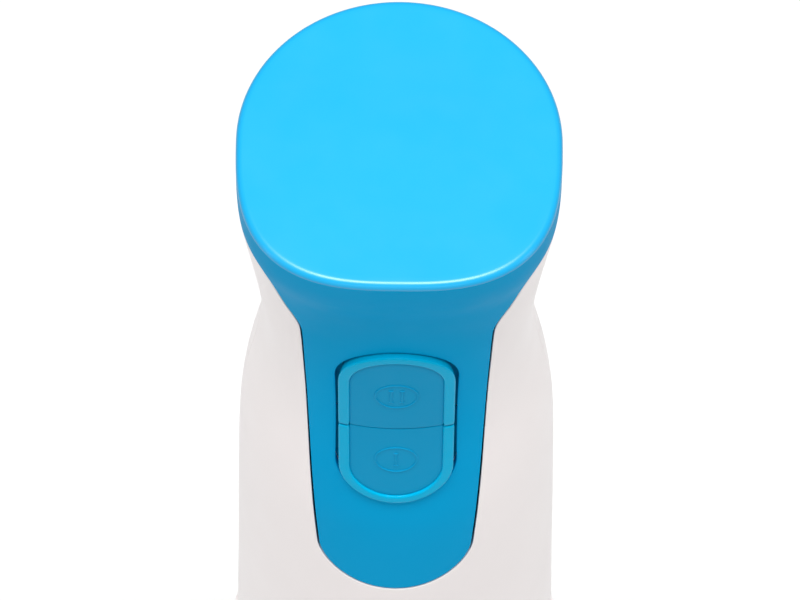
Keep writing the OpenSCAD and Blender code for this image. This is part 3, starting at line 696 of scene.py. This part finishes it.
front = Build()
housing_edge = front_edge(SEAM + SEAM_SHADOW + EDGE_ROUND)
housing_edge = housing_edge[np.abs(housing_edge[:, 0]) < SIDE - 1]
front_border = np.vstack([side_seam(-1, 1, True), side_seam(1, -1, False), housing_edge[::-1]])
sheet(front, on_handle, [front_border], STEP, EDGE_ROUND, HOUSING_WALL, backed=housing_back,
      sink=button_walls)
tray_hole = stadium(TRAY_HOLE, KEY_REACH, (0, TOP - KEY_MIDDLE), count=24)
tray_edge = front_edge(-TRAY_SHORT)
tray_edge = tray_edge[np.abs(tray_edge[:, 0]) < SIDE - 6]
sheet(front, tray, [tray_edge, unrolled(tray_hole[:, 0], tray_hole[:, 1])], 2.2, 0.3, TRAY_WALL)
front_shell = front.mesh("front_shell", white_abs)
stands_for(front_shell, "motor_unit", "front_housing")

# %% [markdown]
# The rear half has a round hole for the cord's gland and a column of level slots that let the fan's air out.
# Both are laid out as they look from straight behind and then unrolled, so they stay true there.

# %% Rear housing
GLAND_HEIGHT, GLAND_HOLE = 376.0, 7.7
VENT_LOW, VENT_PITCH, VENT_COUNT = 208.0, 6.0, 6
VENT_RADIUS, VENT_REACH = 1.2, 9.0


def behind(across, height):
    """Where a point of the handle's rear lies when unrolled, from its distance across and its height."""
    reach = outline(TOP - height)[0][2]
    return np.array([2 * SIDE + ARC * math.asin(across / reach), height])


rear = Build()
rear_border = np.vstack([side_seam(1, 1, True), side_seam(3, -1, False)])
circle = np.linspace(0, 2 * math.pi, 49)[:-1]
gland_hole = np.column_stack([np.cos(circle), -np.sin(circle)]) * (GLAND_HOLE + EDGE_ROUND)
holes = [np.array([behind(x, GLAND_HEIGHT + z) for x, z in gland_hole])]
for row in range(VENT_COUNT):
    vent = stadium(VENT_RADIUS, VENT_REACH, (0, VENT_LOW + VENT_PITCH * row), sideways=True, count=10)
    holes.append(np.array([behind(x, z) for x, z in vent]))
sheet(rear, on_handle, [rear_border] + holes, STEP, EDGE_ROUND, HOUSING_WALL, backed=housing_back,
      sink=button_walls)
rear_shell = rear.mesh("rear_shell", white_abs)
stands_for(rear_shell, "motor_unit", "rear_housing")

# %% [markdown]
# Many parts are round: the plungers under the keys, the cord's gland, the collar and the tube. Real ones are
# moulded or drawn round an axis, so each is one closed profile spun round it. Real edges are never knife
# sharp, and the tiny rounds catch the light, so every corner of a profile is rounded before it is spun.

# %% Turned pieces
ROUND_STEPS = 4


def rounded(profile, radius):
    """The same closed profile with each sharp corner replaced by a small curve."""
    made = []
    points = np.asarray(profile, float)
    for before, corner, after in zip(np.roll(points, 1, 0), points, np.roll(points, -1, 0)):
        into, out = before - corner, after - corner
        length_in, length_out = np.linalg.norm(into), np.linalg.norm(out)
        if np.dot(into, out) / (length_in * length_out) < -0.94:
            made.append(corner)
            continue
        reach = min(radius, 0.45 * length_in, 0.45 * length_out)
        a, b = corner + into / length_in * reach, corner + out / length_out * reach
        for t in np.linspace(0, 1, ROUND_STEPS + 1):
            made.append((1 - t) ** 2 * a + 2 * t * (1 - t) * corner + t**2 * b)
    return np.array(made)


def spin(build, profile, round_mm, around, along_y=0.0):
    """Adds a closed profile of (radius, height), anticlockwise, spun round +Z, or round +Y at a height."""
    line = rounded(profile, round_mm)
    angles = np.linspace(0, 2 * math.pi, around, endpoint=False)
    r, h = line[:, 0][:, None], line[:, 1][:, None] * np.ones(around)
    points = np.stack([r * np.cos(angles), r * np.sin(angles), h], axis=2)
    if along_y:
        points = np.stack([points[..., 0], points[..., 2], along_y - points[..., 1]], axis=2)
    n = len(line)
    faces = [(k * around + j, k * around + (j + 1) % around,
              (k + 1) % n * around + (j + 1) % around, (k + 1) % n * around + j)
             for k in range(n) for j in range(around)]
    build.add(points.reshape(-1, 3), faces)


def turned(name, profile, material, round_mm=0.3, around=128, along_y=0.0):
    """A piece that is one spun profile."""
    made = Build()
    spin(made, profile, round_mm, around, along_y)
    return made.mesh(name, material, sharp=50)


print("profile maker ready")

# %% [markdown]
# The two keys share one block with round ends, split across the middle. Each follows a barrel curve across
# the handle and is tilted with the panel, so a key is drawn flat, as seen from straight in front, and then
# laid on its own curve or at some height above or below it.

# %% Key outlines
KEY_CURVE = 43.0
KEY_SPLIT = TOP - 66.0
PAD_RADIUS = 9.1
KEYS = {"high": {"sign": 1, "middle": TOP - 52.35, "reach": 25.65, "tilt": math.radians(3.25),
                 "mark": TOP - 53.7, "switch": TOP - 55},
        "low": {"sign": -1, "middle": TOP - 78.8, "reach": 27.65, "tilt": math.radians(7.1),
                "mark": TOP - 76.7, "switch": TOP - 77}}


def key_surface(key, proud):
    """A mapping from distance across and height onto a key's barrel curve, standing proud by a height."""
    facts = KEYS[key]

    def surface(uv, inset=0.0):
        x, z = uv[:, 0], uv[:, 1]
        curve = np.sqrt((KEY_CURVE + proud - inset)**2 - x**2)
        y = (KEY_CURVE - facts["reach"] - curve / math.cos(facts["tilt"])
             + (z - facts["middle"]) * math.tan(facts["tilt"]))
        return np.column_stack([x, y, z])
    return surface


def key_end(key, radius):
    """The round end of a key's outline, from the right side to the left."""
    sign = KEYS[key]["sign"]
    turn = np.linspace(0, math.pi, 41)
    centre = TOP - KEY_MIDDLE + sign * KEY_REACH
    return np.column_stack([radius * np.cos(turn), centre + sign * radius * np.sin(turn)])


def key_outline(key, radius, cut):
    """One key's outline, anticlockwise, cut off just short of the line between the keys."""
    line = KEY_SPLIT + KEYS[key]["sign"] * cut
    half = np.vstack([key_end(key, radius), [[-radius, line], [radius, line]]])
    return half if key == "high" else half[::-1]


def key_frame(key, outer, inner, cut):
    """The C-shaped outline of a frame between two radii, open towards the line between the keys."""
    line = KEY_SPLIT + KEYS[key]["sign"] * cut
    whole = np.vstack([[[outer, line]], key_end(key, outer), [[-outer, line]],
                       [[-inner, line]], key_end(key, inner)[::-1], [[inner, line]]])
    return whole if key == "high" else whole[::-1]


print("a pad's outline has", len(key_outline("high", PAD_RADIUS, 0)), "points")

# %% [markdown]
# The speed mark of each key is moulded on: a ring with one bar or two. The ring and the bars are narrow
# sheets a little above the pad, with edges of their own that catch the light.

# %% Speed marks
PAD_PROUD = 0.45
RAISED = 0.15           # height of the mark above the pad
MARK_RADIUS, STROKE, MARK_ROUND = 4.1, 0.42, 0.06
MARK_STEP, MARK_DEPTH = 0.3, 0.35
BAR_HEIGHT, BAR_SPACING, SERIF, SERIF_THICK = 4.3, 2.15, 0.42, 0.2


def add_mark(build, key):
    """The raised ring and numeral of a key: one bar with serifs for the low speed and two for the high."""
    middle = [0, KEYS[key]["mark"]]
    surface = key_surface(key, PAD_PROUD + RAISED)
    turn = np.linspace(0, 2 * math.pi, 72, endpoint=False)
    circle = np.column_stack([np.cos(turn), np.sin(turn)])
    half_line = STROKE / 2 - MARK_ROUND
    outer = circle * (MARK_RADIUS + half_line) + middle
    inner = circle[::-1] * (MARK_RADIUS - half_line) + middle
    sheet(build, surface, [outer, inner], MARK_STEP, MARK_ROUND, MARK_DEPTH)
    high = BAR_HEIGHT / 2
    low = high - SERIF_THICK
    right = np.array([[SERIF, -high], [SERIF, -low], [half_line, -low],
                      [half_line, low], [SERIF, low], [SERIF, high]])
    bar = np.vstack([right, right[::-1] * [-1, 1]])
    bars = (-BAR_SPACING / 2, BAR_SPACING / 2) if key == "high" else (0,)
    for across in bars:
        sheet(build, surface, [bar + middle + [across, 0]], MARK_STEP, MARK_ROUND, MARK_DEPTH)


print("the marks stand", RAISED, "mm above the pads")

# %% [markdown]
# Each key is two mouldings. The polished blue one is seen as a raised rim; below it are the floor that the
# pad sits on, a flange that keeps the key from coming out of the cover, and a plunger that reaches in to the
# micro switch. The soft satin pad is set into the rim with a fine gap round it.

# %% Keys
RIM_PROUD, FLOOR_LEVEL, FLANGE_LEVEL = 0.9, -0.55, -3.1
FLANGE_RADIUS = 12.9
RIM_CUT, FLANGE_CUT, FLOOR_CUT, PAD_CUT = 0.65, 0.5, 0.15, 0.35
PLUNGER_RADIUS, PLUNGER_END = 2.2, -18.6

for key, facts in KEYS.items():
    rim = Build()
    sheet(rim, key_surface(key, RIM_PROUD), [key_frame(key, KEY_RADIUS - 0.5, PAD_RADIUS + 0.45, RIM_CUT)],
          0.45, 0.4, 4.0)
    sheet(rim, key_surface(key, FLOOR_LEVEL), [key_outline(key, PAD_RADIUS + 0.3, FLOOR_CUT)], 1.2, 0.05, 0.8)
    sheet(rim, key_surface(key, FLANGE_LEVEL), [key_frame(key, FLANGE_RADIUS, PAD_RADIUS + 0.65, FLANGE_CUT)],
          1.5, 0.1, 0.9)
    start = 0.9 - facts["reach"]
    spin(rim, [[0, start], [PLUNGER_RADIUS, start], [PLUNGER_RADIUS, PLUNGER_END], [0, PLUNGER_END]], 0.2, 32,
         along_y=facts["switch"])
    stands_for(rim.mesh(key + "_key_rim", blue_abs_polished), key + "_key", key + "_speed_key")

    pad = Build()
    sheet(pad, key_surface(key, PAD_PROUD), [key_outline(key, PAD_RADIUS - 0.2, PAD_CUT)], 0.5, 0.25, 0.85)
    add_mark(pad, key)
    stands_for(pad.mesh(key + "_key_pad", soft_touch), key + "_key", key + "_speed_pad")

# %% [markdown]
# The cord's gland is a soft rubber sleeve in the back of the handle, with a flange on each side of the wall.
# It is one turned profile, and its outer lip is chamfered so that a cord can bend over it.

# %% Cord gland
gland = turned("gland_sleeve", [
    [3.5, 20], [7.5, 20], [7.5, 24.8], [5.5, 24.8], [5.5, 27.5], [7.5, 27.5], [7.5, 29.6], [6.3, 31.2],
    [3.5, 31.2]], blue_rubber, round_mm=0.5, around=72, along_y=GLAND_HEIGHT)
stands_for(gland, "motor_unit", "cord_gland")

# %% [markdown]
# The arm hangs from a white collar that flares up to the handle's width, so that the two look like one body.
# Its flare is an S-curve, the same rule as the bell's below. Inside is the cup that takes the motor unit's
# nose, with a groove that the two latch hooks catch in. The tube is plain drawn stainless steel.

# %% Collar and tube
COLLAR_LOW, COLLAR_TOP = 132.0, 175.7
COLLAR_NECK, COLLAR_RADIUS, FLARE_RISE = 17.8, 30.9, 34
CUP_FLOOR, CUP_RADIUS = 157.0, 25.6
GROOVE_LOW, GROOVE_HIGH, GROOVE_RADIUS = 162.6, 169, 27.8
SOCKET, SOCKET_TOP = 16.0, 151          # the bore that takes the tube
TUBE_OUT, TUBE_IN, TUBE_LOW, TUBE_TOP = 15.96, 15.1, 42.2, 150.9

flare = np.linspace(COLLAR_LOW + 0.6, 172, 44)
flare_out = COLLAR_NECK + (COLLAR_RADIUS - COLLAR_NECK) * ease((flare - COLLAR_LOW) / FLARE_RISE)
collar = turned("collar_body", np.vstack([
    [[SOCKET, COLLAR_LOW], [17.2, COLLAR_LOW]],
    np.column_stack([flare_out, flare]),
    [[COLLAR_RADIUS, COLLAR_TOP - 0.6], [COLLAR_RADIUS - 0.6, COLLAR_TOP], [CUP_RADIUS, COLLAR_TOP],
     [CUP_RADIUS, GROOVE_HIGH], [GROOVE_RADIUS, GROOVE_HIGH], [GROOVE_RADIUS, GROOVE_LOW],
     [CUP_RADIUS, GROOVE_LOW], [CUP_RADIUS, CUP_FLOOR], [7, CUP_FLOOR], [7, SOCKET_TOP],
     [SOCKET, SOCKET_TOP]]]), white_abs, round_mm=0.35, around=168)
stands_for(collar, "arm", "arm_collar")
tube = turned("drawn_tube", [
    [TUBE_IN, TUBE_LOW], [TUBE_OUT, TUBE_LOW], [TUBE_OUT, TUBE_TOP], [TUBE_IN, TUBE_TOP]],
    stainless_polished, round_mm=0.1, around=144)
stands_for(tube, "arm", "arm_tube")

# %% [markdown]
# The bell is spun from steel sheet: it leaves the tube as a neck and opens in one S-curve to a straight skirt
# with four windows, through which food is thrown out. It is a sheet with holes, so the same sheet maker
# draws it, on a mapping that wraps the flat sheet round the axis.

# %% Bell
BELL_RADIUS, BELL_WALL = 33.3, 1.3
NECK_RADIUS, NECK_TOP, NECK_LOW, SKIRT = 17.35, 55.0, 46.0, 12.0
WINDOW_HEIGHT, WINDOW_RADIUS, WINDOW_REACH = 10.0, 4.5, 3.5


def bell_share(height):
    """How far down the flare a height is, from 0 at the neck to 1 at the skirt."""
    return np.clip((NECK_LOW - height) / (NECK_LOW - SKIRT), 0, 1)


def on_bell(uv, inset=0.0):
    """Points of the bell from width round the skirt and height; the wall is a little thicker at mid flare."""
    angle, height = uv[:, 0] / BELL_RADIUS, uv[:, 1]
    share = bell_share(height)
    radius = NECK_RADIUS + (BELL_RADIUS - NECK_RADIUS) * ease(share)
    radius = radius - inset * (1 + 0.22 * np.sin(math.pi * share))
    return np.column_stack([radius * np.cos(angle), radius * np.sin(angle), height])


BELL_ROUND = 0.35
bell = Build()
half_round = BELL_RADIUS * math.pi
width = np.linspace(-half_round, half_round, 181)
rim_row = np.column_stack([width, np.full(181, BELL_ROUND)])
neck_row = np.column_stack([width, np.full(181, NECK_TOP - BELL_ROUND)])
windows = []
for quarter in range(4):
    middle = (-half_round + 2 * half_round * (quarter + 0.5) / 4, WINDOW_HEIGHT)
    window = stadium(WINDOW_RADIUS + BELL_ROUND, WINDOW_REACH, sideways=True, count=14)
    windows.append(resample(window + middle, 1.0))
sheet(bell, on_bell, [np.vstack([rim_row, neck_row[::-1]])] + windows, 1.3, BELL_ROUND, BELL_WALL,
      seams=[rim_row[:-1], neck_row[::-1][:-1]] + windows)
# The windows face the front, the back and the sides, an eighth of a turn from where the flat sheet has them.
turn = math.pi / 4
bell.points = [(x * math.cos(turn) - y * math.sin(turn), x * math.sin(turn) + y * math.cos(turn), z)
               for x, y, z in bell.points]
bell_piece = bell.mesh("spun_bell", stainless_polished, sharp=50)
stands_for(bell_piece, "arm", "bell_guard")

# %% [markdown]
# What repeats is made with Geometry Nodes. The helpers start a tree with named inputs, give a curve a round
# section, end the tree in real geometry with its material, and run it: the inputs are set before the tree is
# first evaluated, and the result is kept as a plain mesh.

# %% Node trees
def new_tree(name, inputs):
    """A Geometry Nodes tree with named inputs of the given socket types; gives the tree and its inputs."""
    tree = bpy.data.node_groups.new(name, "GeometryNodeTree")
    tree.interface.new_socket("Geometry", in_out="OUTPUT", socket_type="NodeSocketGeometry")
    for label, kind in inputs.items():
        tree.interface.new_socket(label, in_out="INPUT", socket_type=kind)
    return tree, tree.nodes.new("NodeGroupInput").outputs


def end_tree(tree, geometry, material):
    """Ends a tree in Realize Instances and Set Material."""
    real = add_node(tree, "GeometryNodeRealizeInstances", {"Geometry": geometry})
    done = add_node(tree, "GeometryNodeSetMaterial", {"Geometry": real.outputs[0], "Material": material})
    output = tree.nodes.new("NodeGroupOutput")
    tree.links.new(done.outputs[0], output.inputs[0])


def from_tree(name, tree, values, material):
    """Runs a tree on an empty mesh and keeps the result as a plain mesh."""
    maker = bpy.data.objects.new(name + "_maker", bpy.data.meshes.new(name + "_maker"))
    bpy.context.scene.collection.objects.link(maker)
    modifier = maker.modifiers.new("shape", "NODES")
    modifier.node_group = tree
    for item in tree.interface.items_tree:
        if item.in_out == "INPUT":
            modifier[item.identifier] = values[item.name]
    graph = bpy.context.evaluated_depsgraph_get()
    data = bpy.data.meshes.new_from_object(maker.evaluated_get(graph))
    bpy.data.objects.remove(maker)
    if not data.materials:
        data.materials.append(material)
    data.name = name
    for face in data.polygons:
        face.use_smooth = True
    data.set_sharp_from_angle(angle=math.radians(50))
    made = bpy.data.objects.new(name, data)
    bpy.context.scene.collection.objects.link(made)
    return made


def swept(tree, curve, radius, around):
    """Gives a curve a round section."""
    section = add_node(tree, "GeometryNodeCurvePrimitiveCircle", {"Resolution": around, "Radius": radius})
    return add_node(tree, "GeometryNodeCurveToMesh", {
        "Curve": curve, "Profile Curve": section.outputs[0], "Fill Caps": True})


print("node helpers ready")

# %% [markdown]
# A release button is pressed in from the side, so its face follows the housing's curve and has level ribs
# for the fingertip. Behind the face are a flange that keeps it in the housing and a stem that reaches the
# latch hook. One rib is an arc with a round section, placed at every point of a short upright line.

# %% Release buttons
BUTTON_FACE, BUTTON_ROUND, BUTTON_DEPTH = 34.7, 0.5, 4.6
FLANGE, STEM = ((28.3, 29.8), 8, 5.4), ((21.6, 28.4), 3.5, 2.5)     # across, half width, half height
RIB_SWEEP, RIB_RADIUS, RIB_COUNT, RIB_LOW, RIB_PITCH = 8.0 / BUTTON_FACE, 0.4, 4, -2.4, 1.6

ribs, rib_in = new_tree("grip_ribs", {
    "Face Radius": "NodeSocketFloat", "Sweep": "NodeSocketFloat", "Start": "NodeSocketFloat",
    "Rib Radius": "NodeSocketFloat", "Count": "NodeSocketInt", "First": "NodeSocketVector",
    "Spacing": "NodeSocketVector"})
arc = add_node(ribs, "GeometryNodeCurveArc", {
    "Resolution": 14, "Radius": rib_in["Face Radius"], "Start Angle": rib_in["Start"],
    "Sweep Angle": rib_in["Sweep"]})
rod = swept(ribs, arc.outputs[0], rib_in["Rib Radius"], 10)
rows = add_node(ribs, "GeometryNodeMeshLine", {
    "Count": rib_in["Count"], "Start Location": rib_in["First"], "Offset": rib_in["Spacing"]})
placed = add_node(ribs, "GeometryNodeInstanceOnPoints", {
    "Points": rows.outputs[0], "Instance": rod.outputs[0]})
end_tree(ribs, placed.outputs[0], white_abs)


def loose_box(build, low, high):
    """A closed box between two corners."""
    corners = [(x, y, z) for x in (low[0], high[0]) for y in (low[1], high[1]) for z in (low[2], high[2])]
    build.add(corners, [(0, 1, 3, 2), (4, 6, 7, 5), (0, 4, 5, 1), (2, 3, 7, 6), (0, 2, 6, 4), (1, 5, 7, 3)])


def button_surface(sign):
    """The crowned face of one side's button, from distance along the housing and height."""
    def surface(uv, inset=0.0):
        out = np.sqrt(BUTTON_FACE**2 - uv[:, 0]**2) - inset
        return np.column_stack([sign * out, sign * uv[:, 0], uv[:, 1]])
    return surface


for side, sign in (("left", -1), ("right", 1)):
    button = Build()
    face_edge = stadium(BUTTON_RADIUS - BUTTON_ROUND, BUTTON_MID, (0, BUTTON_HEIGHT), sideways=True)[::-1]
    sheet(button, button_surface(sign), [face_edge], 0.6, BUTTON_ROUND, BUTTON_DEPTH)
    for across, half_width, half_height in (FLANGE, STEM):
        inner, outer = sorted(sign * x for x in across)
        loose_box(button, (inner, -half_width, BUTTON_HEIGHT - half_height),
                  (outer, half_width, BUTTON_HEIGHT + half_height))
    stands_for(button.mesh(side + "_button", white_abs), side + "_release", side + "_release_button")
    grip = from_tree(side + "_button_ribs", ribs, {
        "Face Radius": (BUTTON_FACE - 0.1) * MM, "Sweep": RIB_SWEEP,
        "Start": (0 if sign > 0 else math.pi) - RIB_SWEEP / 2, "Rib Radius": RIB_RADIUS * MM,
        "Count": RIB_COUNT, "First": (0, 0, (BUTTON_HEIGHT + RIB_LOW) * MM),
        "Spacing": (0, 0, RIB_PITCH * MM)}, white_abs)
    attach(grip, side + "_release")
    print(grip.name, len(grip.data.polygons), "faces")

# %% [markdown]
# Springs are round wire wound on a rule: so many turns, a radius and a length. The tree sweeps a circle along
# a spiral and closes it with one flat ring at each end, as a compression spring's dead coils are. Each key
# and latch spring sits between a fixed seat and a moving part, and is drawn at one length on the motor unit.

# %% Springs
coils, coil_in = new_tree("compression_spring", {
    "Coil Radius": "NodeSocketFloat", "Wire Radius": "NodeSocketFloat", "Rise": "NodeSocketFloat",
    "Turns": "NodeSocketFloat", "Place": "NodeSocketVector", "Direction": "NodeSocketVector"})
spiral = add_node(coils, "GeometryNodeCurveSpiral", {
    "Resolution": 22, "Rotations": coil_in["Turns"], "Start Radius": coil_in["Coil Radius"],
    "End Radius": coil_in["Coil Radius"], "Height": coil_in["Rise"]})
ring = add_node(coils, "GeometryNodeCurvePrimitiveCircle", {
    "Resolution": 22, "Radius": coil_in["Coil Radius"]})
lift = add_node(coils, "ShaderNodeCombineXYZ", {"Z": coil_in["Rise"]})
far_ring = add_node(coils, "GeometryNodeTransform", {
    "Geometry": ring.outputs[0], "Translation": lift.outputs[0]})
joined = add_node(coils, "GeometryNodeJoinGeometry", {})
for part in (spiral, ring, far_ring):
    coils.links.new(part.outputs[0], joined.inputs[0])
wound = swept(coils, joined.outputs[0], coil_in["Wire Radius"], 8)
seated = add_node(coils, "GeometryNodeTransform", {
    "Geometry": wound.outputs[0], "Translation": coil_in["Place"], "Rotation": coil_in["Direction"]})
end_tree(coils, seated.outputs[0], spring_steel)

QUARTER = math.pi / 2
ALONG_Y, ALONG_X, AGAINST_X = (-QUARTER, 0, 0), (0, QUARTER, 0), (0, -QUARTER, 0)


def spring(name, radius, wire_radius, start, length, turns, direction, axis):
    """A spring from a start point, in millimetres; the wire's own thickness stays inside its length."""
    place = (np.array(start) + np.array(axis) * wire_radius) * MM
    return from_tree(name, coils, {
        "Coil Radius": radius * MM, "Wire Radius": wire_radius * MM, "Rise": (length - 2 * wire_radius) * MM,
        "Turns": float(turns), "Place": tuple(place), "Direction": direction}, spring_steel)


DECK = -16.65           # the front of the plate that carries the switches, where the key springs end
LATCH_SEAT, LATCH_HEIGHT, LATCH_LENGTH = 12.95, 183.75, 6.2

for key, start, height in (("high", -24.0, 345), ("low", -25.3, 323)):
    length = DECK - start
    coil = spring(key + "_key_coil", 3.3, 0.3, (0, start, height), length, 5, ALONG_Y, (0, 1, 0))
    stands_for(coil, "motor_unit", key + "_key_spring")
    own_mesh(coil)
pushers = Build()
for side, sign, way in (("left", -1, AGAINST_X), ("right", 1, ALONG_X)):
    seat = (sign * LATCH_SEAT, 0, LATCH_HEIGHT)
    coil = spring(side + "_latch_coil", 1.8, 0.25, seat, LATCH_LENGTH, 4, way, (sign, 0, 0))
    stands_for(coil, "motor_unit", side + "_latch_spring")
    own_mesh(coil)
    coil = spring("brush_coil", 2.0, 0.25, (sign * 19, 0, 258), 5, 4, way, (sign, 0, 0))
    pushers.add([v.co / MM for v in coil.data.vertices], [p.vertices for p in coil.data.polygons])
    bpy.data.objects.remove(coil)
stands_for(pushers.mesh("brush_coils", spring_steel), "motor_unit", "brush_springs")
print("springs made")

# %% [markdown]
# What is left keeps its CAD shape, which is already exact: the motor, the switches, the screws, the latch
# hooks and the blade. Each only needs the finish of the real thing. Most are hidden in the assembled
# blender, but they show when the arm is taken off or the part is opened up.

# %% Finishes of the CAD parts
finishes = {
    grey_nylon: ["switch_carrier", "coupling_base", "drive_dog", "driven_coupler", "lower_carrier",
                 "cooling_fan"],
    stainless_ground: ["blade", "blade_nut", "blade_shaft", "rotor_shaft"],
    zinc_steel: ["upper_motor_bracket", "lower_motor_bracket", "housing_screws", "carrier_screws",
                 "motor_screws", "base_screws", "left_latch_hook", "right_latch_hook"],
    sintered_bronze: ["upper_motor_bush", "lower_motor_bush", "upper_arm_bush", "lower_arm_bush"],
    lamination_steel: ["stator_core", "rotor_core"],
    copper_wire: ["field_coils", "rotor_windings"],
    commutator_copper: ["commutator"],
    graphite: ["carbon_brushes"],
    dark_nylon: ["brush_holders", "micro_switches"],
    board_green: ["switch_board"],
    capacitor_resin: ["suppressor_capacitor"],
    lead_pvc: ["inner_leads"],
    black_rubber: ["upper_damper", "motor_grommets", "collar_gasket", "shaft_seal"],
}
for finish, names in finishes.items():
    for name in names:
        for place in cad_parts[name].material_slots:
            place.material = finish
unfinished = [name for name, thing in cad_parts.items()
              if not thing.hide_render and name not in sum(finishes.values(), [])]
print("CAD parts still without a finish:", unfinished)
